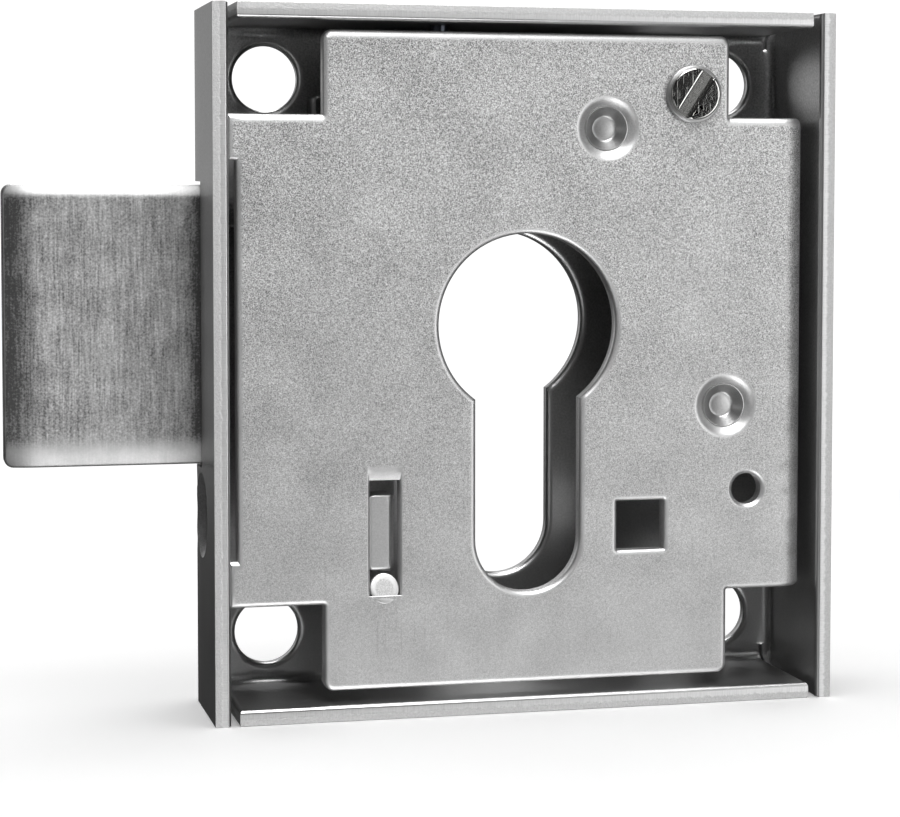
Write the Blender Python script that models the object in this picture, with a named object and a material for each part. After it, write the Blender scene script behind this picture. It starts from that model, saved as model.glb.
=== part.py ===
"""Surface-mounted case lock for a profile cylinder, as separate working solids.

The lock stands on its lower edge.  Lengths below are millimetres in lock coordinates:
x runs from the outer face of the bolt-side wall towards the blind side, y runs from the
open rim of the case towards its base plate, z runs up from the lower edge.  The finished
objects are in metres, about an origin at the bottom centre of the whole lock.
"""
import math

import bmesh
import bpy
from mathutils import Matrix, Vector

MM = 0.001
GAP = 0.3

# Case: one folded tray of sheet steel
CASE_W = 60.25
CASE_H = 66.5
CASE_D = 15.0
SHEET = 1.5
BEND_IN = 1.0
BEND_OUT = BEND_IN + SHEET
CORNER_GAP = 0.8
SLIT_TOP = 3.0
SLIT_DEPTH = 4.0
FLAP_LAP = 2.0
BASE_Y = CASE_D - SHEET
HOLE_X = (6.9, 53.0)
HOLE_Z = (6.4, 60.1)
HOLE_R = 3.15
CYLINDER_SCREW = (9.0, 18.6)
CYLINDER_SCREW_R = 2.7
CYLINDER_SINK_R = 4.1
CYLINDER_SINK_DEPTH = 1.2
POST_FOOT_R = 1.5
POST_FOOT_PLAY = 0.35
PEG_HOLE_R = 1.2

# Opening for the profile cylinder, the same in cover and base
CYL_X = 30.0
CYL_Z = 36.7
CYL_R = 8.65
CYL_SLOT_R = 5.1
CYL_BOTTOM = 11.3
CAM_R = 15.0

# Cover plate
COVER_Y = 1.2
COVER_T = 1.75
COVER_BACK = COVER_Y + COVER_T
ARM_X = (10.4, 49.9)
ARM_Z = (2.65, 64.2)
WING_X = (2.3, 57.8)
WING_Z = (10.8, 56.4)
TAB_REACH = 0.5
TAB_Z = (15.15, 52.1)
WING_FLANGE_Y = 8.8
WING_BEND_IN = 0.4
WING_LAP = 1.5
COVER_CORNER_R = 0.9
PIN_HOLE = (51.9, 20.55, 1.5)
SQUARE_HOLE = (41.15, 17.35, 4.75)
LUG_SLOT_X = (14.7, 17.6)
LUG_SLOT_Z = (11.1, 22.35)

# Fixings of the cover
SCREW = (46.2, 58.6)
SCREW_HEAD_R = 2.75
SCREW_FACE_R = 2.4
SCREW_FACE_Y = 0.15
SCREW_CHAMFER = 0.3
SCREW_SHANK_R = 1.3
SCREW_REACH = 5.5
SCREW_SLOT_DEPTH = 0.45
SCREW_SLOT_HALF = 0.55
SCREW_SLOT_ANGLE = 57.0
POST_R = 2.4
POST_BORE = 6.5
STUDS = {"upper": (37.75, 55.3), "right": (49.65, 28.7)}
STUD_R = 1.75
STUD_RIM_R = 1.55
STUD_RIM_Y = 1.7
STUD_PIT_R = 1.15
STUD_PIT_Y = 2.6
STUD_COLLAR_R = 2.9
STUD_END = 8.9
CLIP_R = 3.2
CLIP_T = 0.6

# Bolt with its drive arm, shown thrown
BOLT_Y = (9.25, 13.15)
BOLT_THROW = 18.3
HEAD_Z = (23.4, 49.9)
HEAD_X1 = 2.75
SHOULDER_X = 2.3
ARM_TOP = 55.6
ARM_LOW = 45.9
ARM_END = 38.6
ARM_NECK = 4.8
TALON_FOOT = 5.1
TALON_SLOPE = 1.5
NOTCH_X = (15.3, 26.4)
NOTCH_TOP = CYL_Z + CAM_R + 0.4
TALON_Z = 48.2
STUMP = (13.6, 56.2)
STUMP_R = 1.5
HUMP_LAND = 1.2
HUMP_RISE = 0.7
TAIL_PIN = (36.0, 53.6)
TAIL_PIN_R = 1.4

# Tumbler, shown lifted to where its gate lets the bolt pass
TUMBLER_Y = (5.6, 7.4)
TUMBLER_RISE = 1.0
TUMBLER_DROP = 2.0
BELLY_R = CAM_R + 0.4
TUMBLER_END_X = 53.6
TUMBLER_SHOULDER = (42.0, 54.6)
TUMBLER_WAIST_Z = 24.0
TUMBLER_BACK = ((13.2, 20.5), (8.8, 26.0), (8.8, 51.0), 11.0)
FOOT_X = (13.2, 17.9)
FOOT_Z = (13.3, 21.6)
POCKET_WALL = 1.6
SEAT_HALF = 2.4
LUG_SHANK_R = 0.7
LUG_X = (15.0, 17.3)
LUG_Z = (13.6, 20.8)
LUG_Y = 2.3
SPRING_X = 22.5
SPRING_SEAT = 59.4
SPRING_R = 1.45
SPRING_WIRE_R = 0.25
SPRING_TURNS = 4.5
POINTS_PER_TURN = 14
PEG_R = 0.9
PEG_TIP_R = 0.6
PEG_END = 61.8

DEPTH_MID = CASE_D / 2
ORIGIN = Vector(((CASE_W - BOLT_THROW) / 2, DEPTH_MID, 0.0))

STEELS = {
    "zinc_plated_sheet": ((0.60, 0.61, 0.62), 0.42),
    "bright_bolt_steel": ((0.66, 0.66, 0.66), 0.36),
    "nickel_screw": ((0.75, 0.75, 0.74), 0.16),
    "turned_pin_steel": ((0.55, 0.55, 0.56), 0.34),
    "blue_spring_wire": ((0.36, 0.38, 0.42), 0.30),
}


def clear_scene():
    """Remove every object that the file started with."""
    for thing in list(bpy.data.objects):
        bpy.data.objects.remove(thing, do_unlink=True)


def steel(name):
    """Principled metal of the given kind, made once and shared."""
    if name in bpy.data.materials:
        return bpy.data.materials[name]
    color, roughness = STEELS[name]
    material = bpy.data.materials.new(name)
    material.use_nodes = True
    shader = material.node_tree.nodes["Principled BSDF"]
    shader.inputs["Base Color"].default_value = (*color, 1.0)
    shader.inputs["Metallic"].default_value = 1.0
    shader.inputs["Roughness"].default_value = roughness
    return material


def world(point):
    """Lock coordinates in millimetres to the part's frame in metres."""
    return (Vector(point) - ORIGIN) * MM


def finish(name, mesh_builder, material, pivot=(0.0, DEPTH_MID, 0.0), smooth=False):
    """Turn a bmesh in lock millimetres into a named object whose origin is at pivot."""
    bmesh.ops.recalc_face_normals(mesh_builder, faces=mesh_builder.faces)
    bmesh.ops.translate(mesh_builder, verts=mesh_builder.verts, vec=-Vector(pivot))
    bmesh.ops.scale(mesh_builder, verts=mesh_builder.verts, vec=(MM, MM, MM))
    mesh = bpy.data.meshes.new(name)
    mesh_builder.to_mesh(mesh)
    mesh_builder.free()
    thing = bpy.data.objects.new(name, mesh)
    thing.location = world(pivot)
    if material:
        mesh.materials.append(steel(material))
    if smooth:
        mesh.shade_smooth()
        mesh.set_sharp_from_angle(angle=math.radians(35))
    bpy.context.scene.collection.objects.link(thing)
    return thing


def cut(target, cutter):
    """Subtract cutter from target and keep cutter as a hidden guide."""
    modify(target, cutter, "DIFFERENCE")


def join(target, other):
    """Fuse other into target and keep other as a hidden guide."""
    modify(target, other, "UNION")


def modify(target, other, operation):
    """Add one exact Boolean to target."""
    other.hide_render = True
    other.display_type = "WIRE"
    boolean = target.modifiers.new(f"{operation.lower()}_{other.name}", "BOOLEAN")
    boolean.operation = operation
    boolean.solver = "EXACT"
    boolean.object = other


def arc(center, radius, start, end, steps):
    """Points on a circle from angle start to angle end, in degrees."""
    angles = [math.radians(start + (end - start) * i / steps) for i in range(steps + 1)]
    return [(center[0] + radius * math.cos(a), center[1] + radius * math.sin(a)) for a in angles]


def rounded(corners, steps=4):
    """Closed outline of (u, v, radius) corners, each rounded by its own radius."""
    outline = []
    count = len(corners)
    for i, (u, v, radius) in enumerate(corners):
        here = Vector((u, v))
        if radius <= 0:
            outline.append((u, v))
            continue
        to_last = (Vector(corners[i - 1][:2]) - here).normalized()
        to_next = (Vector(corners[(i + 1) % count][:2]) - here).normalized()
        half = to_last.angle(to_next) / 2
        middle = here + (to_last + to_next).normalized() * (radius / math.sin(half))
        first = here + to_last * (radius / math.tan(half)) - middle
        last = here + to_next * (radius / math.tan(half)) - middle
        turn = first.angle_signed(last)
        for step in range(steps + 1):
            spoke = Matrix.Rotation(-turn * step / steps, 2) @ first
            outline.append(tuple(middle + spoke))
    return outline


def prism(loop, sweep):
    """Closed solid between a planar loop of 3D points and its copy moved by sweep."""
    builder = bmesh.new()
    near = [builder.verts.new(point) for point in loop]
    far = [builder.verts.new(Vector(point) + Vector(sweep)) for point in loop]
    builder.faces.new(near)
    builder.faces.new(far)
    for i in range(len(loop)):
        j = (i + 1) % len(loop)
        builder.faces.new((near[i], near[j], far[j], far[i]))
    return builder


def plate(outline, y_range):
    """Solid of an x-z outline between two depths."""
    loop = [(x, y_range[0], z) for x, z in outline]
    return prism(loop, (0, y_range[1] - y_range[0], 0))


def block(x_range, y_range, z_range):
    """Rectangular solid."""
    outline = [(x, z) for x, z in zip((*x_range, *x_range[::-1]), (z_range[0],) * 2 + (z_range[1],) * 2)]
    return plate(outline, y_range)


def turned(profile, center, axis="Y", steps=24):
    """Solid of revolution from (radius, distance) pairs along an axis through center."""
    builder = bmesh.new()
    rings = []
    for radius, along in profile:
        ring = []
        for i in range(steps):
            a = 2 * math.pi * i / steps
            u, v = radius * math.cos(a), radius * math.sin(a)
            offset = {"X": (along, u, v), "Y": (u, along, v), "Z": (u, v, along)}[axis]
            ring.append(builder.verts.new(Vector(center) + Vector(offset)))
        rings.append(ring)
    for low, high in zip(rings, rings[1:]):
        for i in range(steps):
            j = (i + 1) % steps
            builder.faces.new((low[i], low[j], high[j], high[i]))
    builder.faces.new(rings[0])
    builder.faces.new(rings[-1])
    return builder


def rod(x, z, radius, y_range, steps=24):
    """Straight round bar along the depth of the lock."""
    return turned([(radius, y_range[0]), (radius, y_range[1])], (x, 0, z), "Y", steps)


def cylinder_outline():
    """Keyhole outline: a round hole for the barrel running into a round-ended slot."""
    waist = math.degrees(math.asin(CYL_SLOT_R / CYL_R))
    barrel = arc((CYL_X, CYL_Z), CYL_R, -90 + waist, 270 - waist, 32)
    slot = arc((CYL_X, CYL_BOTTOM + CYL_SLOT_R), CYL_SLOT_R, 180, 360, 12)
    return barrel + slot


def case_walls():
    """Base with the two side walls: a U of constant thickness, bent at both sides."""
    right = CASE_W
    profile = [(0, 0), (SHEET, 0)]
    profile += arc((BEND_OUT, CASE_D - BEND_OUT), BEND_IN, 180, 90, 5)
    profile += arc((right - BEND_OUT, CASE_D - BEND_OUT), BEND_IN, 90, 0, 5)
    profile += [(right - SHEET, 0), (right, 0)]
    profile += arc((right - BEND_OUT, CASE_D - BEND_OUT), BEND_OUT, 0, 90, 6)
    profile += arc((BEND_OUT, CASE_D - BEND_OUT), BEND_OUT, 90, 180, 6)
    return prism([(x, y, 0) for x, y in profile], (0, 0, CASE_H))


def case_flap(name, at_top):
    """Upper or lower wall with its bend and a strip that runs into the base."""
    profile = [(0, 0), (0, SHEET)]
    profile += [(y, z) for z, y in arc((BEND_OUT, CASE_D - BEND_OUT), BEND_IN, 180, 90, 5)]
    profile += [(BASE_Y, BEND_OUT + FLAP_LAP), (CASE_D, BEND_OUT + FLAP_LAP)]
    profile += [(y, z) for z, y in arc((BEND_OUT, CASE_D - BEND_OUT), BEND_OUT, 90, 180, 6)]
    if at_top:
        profile = [(y, CASE_H - z) for y, z in profile]
    start = SHEET + CORNER_GAP
    loop = [(start, y, z) for y, z in profile]
    return finish(name, prism(loop, (CASE_W - 2 * start, 0, 0)), None)


def make_case():
    """Folded tray with its cylinder opening, fixing holes, bolt slot and pin slot."""
    case = finish("case_tray", case_walls(), "zinc_plated_sheet")
    start = SHEET + CORNER_GAP
    relief = start - CORNER_GAP / 2
    for label, z_range in (("low", (-1, BEND_OUT)), ("high", (CASE_H - BEND_OUT, CASE_H + 1))):
        trim = block((relief, CASE_W - relief), (CASE_D - SLIT_TOP, CASE_D + 1), z_range)
        cut(case, finish(f"guide_trim_{label}", trim, None))
        join(case, case_flap(f"guide_flap_{label}", label == "high"))
    for side, x_range in (("left", (relief, start)), ("right", (CASE_W - start, CASE_W - relief))):
        for label, z_range in (("low", (-1, SLIT_TOP)), ("high", (CASE_H - SLIT_TOP, CASE_H + 1))):
            slit = block(x_range, (CASE_D - SLIT_DEPTH, CASE_D + 1), z_range)
            cut(case, finish(f"guide_slit_{side}_{label}", slit, None))
    through = (BASE_Y - 1, CASE_D + 1)
    cut(case, finish("guide_base_keyhole", plate(cylinder_outline(), through), None))
    for i, x in enumerate(HOLE_X):
        for j, z in enumerate(HOLE_Z):
            cut(case, finish(f"guide_fixing_{i}{j}", rod(x, z, HOLE_R, through), None))
    cut(case, finish("guide_post_foot", rod(*SCREW, POST_FOOT_R + POST_FOOT_PLAY, through, 16), None))
    pin_r = TAIL_PIN_R + GAP
    x0, z0 = TAIL_PIN
    slot = arc((x0, z0), pin_r, 90, 270, 8) + arc((x0 + BOLT_THROW, z0), pin_r, -90, 90, 8)
    cut(case, finish("guide_tail_slot", plate(slot, through), None))
    bolt_hole = block((-1, BEND_OUT), (BOLT_Y[0] - GAP, BASE_Y), (HEAD_Z[0] - GAP, HEAD_Z[1] + GAP))
    cut(case, finish("guide_bolt_hole", bolt_hole, None))
    y, z = CYLINDER_SCREW
    sink = [(CYLINDER_SINK_R + 1, -1), (CYLINDER_SINK_R, 0)]
    sink += [(CYLINDER_SCREW_R, CYLINDER_SINK_DEPTH), (CYLINDER_SCREW_R, BEND_OUT)]
    cut(case, finish("guide_screw_sink", turned(sink, (0, y, z), "X"), None))
    peg_bore = [(PEG_HOLE_R, CASE_H - BEND_OUT), (PEG_HOLE_R, CASE_H + 1)]
    peg_hole = turned(peg_bore, (SPRING_X, sum(TUMBLER_Y) / 2, 0), "Z", 12)
    cut(case, finish("guide_peg_hole", peg_hole, None))
    return case


def cover_outline():
    """Cross-shaped outline, with a tab above and below the recessed bolt-side edge."""
    r = COVER_CORNER_R
    tab_x = WING_X[0] - TAB_REACH
    far = WING_X[1] - 1.0
    corners = [
        (ARM_X[0], ARM_Z[0], r), (ARM_X[1], ARM_Z[0], r), (ARM_X[1], WING_Z[0], 0),
        (far, WING_Z[0], 0), (far, WING_Z[1], 0), (ARM_X[1], WING_Z[1], 0),
        (ARM_X[1], ARM_Z[1], r), (ARM_X[0], ARM_Z[1], r), (ARM_X[0], WING_Z[1], 0),
        (tab_x, WING_Z[1], 0), (tab_x, TAB_Z[1], 0), (WING_X[0], TAB_Z[1], 0),
        (WING_X[0], TAB_Z[0], 0), (tab_x, TAB_Z[0], 0), (tab_x, WING_Z[0], 0), (ARM_X[0], WING_Z[0], 0),
    ]
    return rounded(corners)


def make_cover():
    """Cover plate, its bent blind-side flange and every hole in it."""
    cover = finish("cover_plate", plate(cover_outline(), (COVER_Y, COVER_BACK)), "zinc_plated_sheet")
    out_r = COVER_T + WING_BEND_IN
    cx, cy = WING_X[1] - out_r, COVER_Y + out_r
    profile = [(cx - WING_LAP, COVER_Y)] + arc((cx, cy), out_r, -90, 0, 6)
    profile += [(WING_X[1], WING_FLANGE_Y), (WING_X[1] - COVER_T, WING_FLANGE_Y)]
    profile += arc((cx, cy), WING_BEND_IN, 0, -90, 4) + [(cx - WING_LAP, COVER_BACK)]
    flange_loop = [(x, y, WING_Z[0]) for x, y in profile]
    flange = prism(flange_loop, (0, 0, WING_Z[1] - WING_Z[0]))
    trim = block((cx, WING_X[1] + 1), (0, CASE_D), (0, CASE_H))
    cut(cover, finish("guide_wing_trim", trim, None))
    join(cover, finish("guide_wing_flange", flange, None))
    through = (COVER_Y - 1, COVER_BACK + 1)
    cut(cover, finish("guide_cover_keyhole", plate(cylinder_outline(), through), None))
    for name, (x, z) in STUDS.items():
        cut(cover, finish(f"guide_{name}_stud_hole", rod(x, z, STUD_R + GAP, through), None))
    cut(cover, finish("guide_screw_hole", rod(*SCREW, SCREW_SHANK_R + 0.4, through), None))
    cut(cover, finish("guide_pin_hole", rod(*PIN_HOLE, through), None))
    x, z, side = SQUARE_HOLE
    square = block((x - side / 2, x + side / 2), through, (z - side / 2, z + side / 2))
    cut(cover, finish("guide_square_hole", square, None))
    cut(cover, finish("guide_lug_slot", block(LUG_SLOT_X, through, LUG_SLOT_Z), None))
    return cover


def make_cover_screw():
    """Slotted cheese-head screw that holds the cover to its post."""
    x, z = SCREW
    head_back = COVER_Y - GAP
    shank_end = COVER_BACK + SCREW_REACH
    profile = [
        (SCREW_FACE_R, SCREW_FACE_Y), (SCREW_HEAD_R, SCREW_FACE_Y + SCREW_CHAMFER), (SCREW_HEAD_R, head_back),
        (SCREW_SHANK_R, head_back), (SCREW_SHANK_R, shank_end), (SCREW_SHANK_R - 0.4, shank_end + 0.4),
    ]
    screw = finish("cover_screw", turned(profile, (x, 0, z)), "nickel_screw", (x, COVER_Y, z), True)
    across = (-SCREW_SLOT_HALF, SCREW_SLOT_HALF)
    slot = block((-SCREW_HEAD_R - 1, SCREW_HEAD_R + 1), (-1, SCREW_SLOT_DEPTH), across)
    lean = Matrix.Rotation(-math.radians(SCREW_SLOT_ANGLE), 3, "Y")
    bmesh.ops.rotate(slot, verts=slot.verts, cent=(0, 0, 0), matrix=lean)
    bmesh.ops.translate(slot, verts=slot.verts, vec=(x, SCREW_FACE_Y, z))
    cut(screw, finish("guide_screw_slot", slot, None))


def make_screw_post():
    """Threaded pillar riveted through the base, hollow from the cover side."""
    x, z = SCREW
    front, back = COVER_BACK + GAP, BASE_Y - GAP
    profile = [(POST_R, front), (POST_R, back), (POST_FOOT_R, back), (POST_FOOT_R, CASE_D - 0.1)]
    post = finish("screw_post", turned(profile, (x, 0, z)), "turned_pin_steel", (x, DEPTH_MID, z), True)
    bore = rod(x, z, SCREW_SHANK_R + GAP, (front - 1, COVER_BACK + POST_BORE), 16)
    cut(post, finish("guide_post_bore", bore, None))


def make_studs():
    """Shouldered pins, cone-punched at the front, each with the clip that keeps the tumbler on."""
    for name, (x, z) in STUDS.items():
        pivot = (x, DEPTH_MID, z)
        collar = (COVER_BACK + GAP, TUMBLER_Y[0] - GAP)
        profile = [
            (STUD_PIT_R, STUD_PIT_Y), (STUD_RIM_R, STUD_RIM_Y), (STUD_R, STUD_RIM_Y), (STUD_R, collar[0]),
            (STUD_COLLAR_R, collar[0]), (STUD_COLLAR_R, collar[1]), (STUD_R, collar[1]), (STUD_R, STUD_END),
        ]
        finish(f"{name}_stud", turned(profile, (x, 0, z)), "turned_pin_steel", pivot, True)
        clip_y = (TUMBLER_Y[1] + GAP, TUMBLER_Y[1] + GAP + CLIP_T)
        clip = finish(f"{name}_stud_clip", rod(x, z, CLIP_R, clip_y), "blue_spring_wire", pivot, True)
        bore = rod(x, z, STUD_R + GAP, (clip_y[0] - 1, clip_y[1] + 1))
        cut(clip, finish(f"guide_{name}_clip_bore", bore, None))


def bolt_outline():
    """Bolt head with a drive arm above the cylinder, notched for the cylinder's cam."""
    reach = STUMP_R + HUMP_LAND
    hump = (STUMP[0] - reach, STUMP[0] + reach, STUMP[1] + STUMP_R + HUMP_RISE)
    foot = NOTCH_X[1] + TALON_FOOT
    neck = ARM_TOP - ARM_NECK
    corners = [
        (-BOLT_THROW, HEAD_Z[0], 0.85), (HEAD_X1, HEAD_Z[0], 0.4), (HEAD_X1, ARM_LOW, 0),
        (NOTCH_X[0], ARM_LOW, 0.6), (NOTCH_X[0], NOTCH_TOP, 1.0), (NOTCH_X[1], NOTCH_TOP, 1.0),
        (NOTCH_X[1], TALON_Z, 0.6), (foot, TALON_Z, 0.6), (foot + TALON_SLOPE, neck, 0),
        (ARM_END, neck, 0.6), (ARM_END, ARM_TOP, 0.6), (hump[1], ARM_TOP, 0),
        (hump[1], hump[2], 0.6), (hump[0], hump[2], 0.6), (hump[0], ARM_TOP, 0),
        (SHOULDER_X, ARM_TOP, 0.4), (SHOULDER_X, HEAD_Z[1], 0), (-BOLT_THROW, HEAD_Z[1], 0.85),
    ]
    return rounded(corners)


def make_bolt():
    """Bolt and the two pins riveted in its arm; all three slide together."""
    pivot = (0.0, sum(BOLT_Y) / 2, sum(HEAD_Z) / 2)
    bolt = finish("bolt", plate(bolt_outline(), BOLT_Y), "bright_bolt_steel", pivot)
    through = (BOLT_Y[0] - 1, BOLT_Y[1] + 1)
    cut(bolt, finish("guide_stump_hole", rod(*STUMP, STUMP_R + GAP, through, 16), None))
    cut(bolt, finish("guide_tail_pin_hole", rod(*TAIL_PIN, TAIL_PIN_R + GAP, through, 16), None))
    stump = rod(*STUMP, STUMP_R, (TUMBLER_Y[0] - 0.7, BOLT_Y[1] - 0.2), 16)
    finish("bolt_stump", stump, "turned_pin_steel", pivot, True)
    tail_pin = rod(*TAIL_PIN, TAIL_PIN_R, (BOLT_Y[0] + 0.3, CASE_D - 0.1), 16)
    finish("tail_guide_pin", tail_pin, "turned_pin_steel", pivot, True)


def tumbler_outline():
    """C-shaped tumbler over the cylinder, with a gate for the stump above its belly."""
    channel = (STUMP[1] - STUMP_R - TUMBLER_RISE - GAP, STUMP[1] + STUMP_R + GAP)
    pocket_top = channel[1] + TUMBLER_DROP
    bridge = (STUMP[0] + STUMP_R + GAP, STUMP[0] + BOLT_THROW - STUMP_R - GAP)
    gate_end = STUMP[0] + BOLT_THROW + STUMP_R + GAP
    belly = arc((CYL_X, CYL_Z), BELLY_R, 180, -25, 40)
    top = pocket_top + POCKET_WALL
    seat = (SPRING_X - SEAT_HALF, SPRING_X + SEAT_HALF)
    heel, low, high, throat = TUMBLER_BACK
    corners = [(FOOT_X[0], FOOT_Z[0]), (FOOT_X[1], FOOT_Z[0]), (FOOT_X[1], FOOT_Z[1])]
    corners += [(CYL_X - BELLY_R, TUMBLER_WAIST_Z)] + belly
    corners += [
        (belly[-1][0], TUMBLER_WAIST_Z), (TUMBLER_END_X, TUMBLER_WAIST_Z), (TUMBLER_END_X, TUMBLER_SHOULDER[1]),
        TUMBLER_SHOULDER, (TUMBLER_SHOULDER[0], top), (seat[1], top), (seat[1], SPRING_SEAT),
        (seat[0], SPRING_SEAT), (seat[0], top), (bridge[0], top), (bridge[0], channel[1]),
        (bridge[1], channel[1]), (bridge[1], pocket_top), (gate_end, pocket_top), (gate_end, channel[0]),
        (throat, channel[0]), high, low, heel,
    ]
    return corners


def make_tumbler():
    """Tumbler with the guide lug that stands in the cover's slot."""
    pivot = ((LUG_X[0] + LUG_X[1]) / 2, sum(TUMBLER_Y) / 2, sum(LUG_Z) / 2)
    tumbler = finish("tumbler", plate(tumbler_outline(), TUMBLER_Y), "zinc_plated_sheet", pivot)
    through = (TUMBLER_Y[0] - 1, TUMBLER_Y[1] + 1)
    for name, (x, z) in STUDS.items():
        half = STUD_R + GAP
        slot = arc((x, z + TUMBLER_DROP), half, 0, 180, 10) + arc((x, z - TUMBLER_RISE), half, 180, 360, 10)
        cut(tumbler, finish(f"guide_{name}_slot", plate(slot, through), None))
    rivet_hole = rod(pivot[0], pivot[2], LUG_SHANK_R + GAP, through, 12)
    cut(tumbler, finish("guide_lug_rivet_hole", rivet_hole, None))
    lug = block(LUG_X, (LUG_Y, TUMBLER_Y[0] - GAP), LUG_Z)
    lug_piece = finish("tumbler_lug", lug, "zinc_plated_sheet", pivot)
    shank = rod(pivot[0], pivot[2], LUG_SHANK_R, (TUMBLER_Y[0] - 1.0, TUMBLER_Y[1] + 0.4), 12)
    join(lug_piece, finish("guide_lug_shank", shank, None))


def make_spring():
    """Compression spring between the tumbler's seat and the upper wall, on its peg."""
    y = sum(TUMBLER_Y) / 2
    low = SPRING_SEAT + GAP + SPRING_WIRE_R
    high = CASE_H - SHEET - GAP - SPRING_WIRE_R
    pivot = Vector((SPRING_X, y, high))
    count = int(SPRING_TURNS * POINTS_PER_TURN)
    curve = bpy.data.curves.new("tumbler_spring", "CURVE")
    curve.dimensions = "3D"
    curve.bevel_depth = SPRING_WIRE_R * MM
    curve.bevel_resolution = 2
    curve.use_fill_caps = True
    spline = curve.splines.new("POLY")
    spline.points.add(count)
    for i, point in enumerate(spline.points):
        angle = 2 * math.pi * SPRING_TURNS * i / count
        height = low + (high - low) * i / count
        spot = Vector((SPRING_X + SPRING_R * math.cos(angle), y + SPRING_R * math.sin(angle), height))
        point.co = (*((spot - pivot) * MM), 1.0)
    spring = bpy.data.objects.new("tumbler_spring", curve)
    spring.location = world(pivot)
    curve.materials.append(steel("blue_spring_wire"))
    bpy.context.scene.collection.objects.link(spring)
    profile = [(PEG_TIP_R, PEG_END), (PEG_R, PEG_END + PEG_R - PEG_TIP_R), (PEG_R, CASE_H - 0.3)]
    peg = turned(profile, (SPRING_X, y, 0), "Z", 16)
    finish("spring_peg", peg, "turned_pin_steel", tuple(pivot), True)


def main():
    """Build the whole lock."""
    clear_scene()
    make_case()
    make_cover()
    make_cover_screw()
    make_screw_post()
    make_studs()
    make_bolt()
    make_tumbler()
    make_spring()


main()
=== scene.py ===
"""Looks of a surface-mounted case lock for a profile cylinder.

The lock is a tray folded from one sheet, a punched cover held by a screw and two hollow
rivets, a thrown bolt, and a tumbler whose lug stands in a slot of the cover.  Every length
is in millimetres of the lock: x from the outer face of the bolt-side wall, y from the open
rim towards the base, z up from the lower edge.  LockFrame turns them into the row frame.
"""
from __future__ import annotations

import logging
import math
from collections.abc import Callable, Sequence
from dataclasses import dataclass, field, replace
from enum import Enum
from functools import partial

import bpy
import numpy as np
from mathutils import Matrix, Vector
from mathutils.geometry import delaunay_2d_cdt


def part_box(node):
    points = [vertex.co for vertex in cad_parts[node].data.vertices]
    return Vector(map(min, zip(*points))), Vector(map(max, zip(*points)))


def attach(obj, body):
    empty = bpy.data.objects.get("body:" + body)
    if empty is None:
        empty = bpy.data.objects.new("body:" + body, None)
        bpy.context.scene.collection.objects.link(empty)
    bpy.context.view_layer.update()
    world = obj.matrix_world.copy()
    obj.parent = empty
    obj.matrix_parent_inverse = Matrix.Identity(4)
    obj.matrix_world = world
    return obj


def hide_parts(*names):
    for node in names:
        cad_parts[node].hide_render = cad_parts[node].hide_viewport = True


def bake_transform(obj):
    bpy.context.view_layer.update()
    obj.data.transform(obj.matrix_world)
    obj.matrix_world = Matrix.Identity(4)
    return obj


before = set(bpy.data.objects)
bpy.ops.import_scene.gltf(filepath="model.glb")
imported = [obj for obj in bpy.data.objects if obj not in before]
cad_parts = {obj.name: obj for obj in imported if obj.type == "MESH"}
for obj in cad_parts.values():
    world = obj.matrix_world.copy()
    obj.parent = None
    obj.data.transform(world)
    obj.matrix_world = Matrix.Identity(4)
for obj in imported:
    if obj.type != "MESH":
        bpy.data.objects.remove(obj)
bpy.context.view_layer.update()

MM = 0.001
Array = np.ndarray
Bend = Callable[[Array, Array, Array], Array]
log = logging.getLogger("case_lock")


class Slot(Enum):
    """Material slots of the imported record."""

    CASE = "case_sheet"
    COVER = "cover_sheet"
    SCREW = "screw_plating"
    TURNED = "turned_steel"
    SPRING = "spring_steel"
    BOLT = "bolt_steel"
    TUMBLER = "tumbler_sheet"


class Body(Enum):
    """Bodies that pieces ride on."""

    CASE = "case"
    BOLT = "bolt_body"
    TUMBLER = "tumbler_body"


class Face(Enum):
    """Number of the material on each kind of face of a punched sheet."""

    FRONT = 0
    SHEAR = 1
    BACK = 2


# ---------------------------------------------------------------- frame and mesh


class LockFrame:
    """Millimetres of the lock against metres of the row frame."""

    def __init__(self) -> None:
        """Take the origin and the overall sizes from the folded case."""
        low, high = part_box("case_tray")
        self.origin = np.array(low)
        self.width, self.depth, self.height = (np.array(high) - self.origin) / MM

    def place(self, points: Array) -> Array:
        """Return points of the lock, in millimetres, as row frame metres."""
        return self.origin + np.asarray(points, float) * MM

    def box(self, node: str) -> tuple[Array, Array]:
        """Return the lowest and highest corner of a CAD node in lock millimetres."""
        low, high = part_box(node)
        return (np.array(low) - self.origin) / MM, (np.array(high) - self.origin) / MM

    def centre(self, node: str) -> Array:
        """Return the middle of a CAD node's box in lock millimetres."""
        low, high = self.box(node)
        return (low + high) / 2


LOCK = LockFrame()


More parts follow.
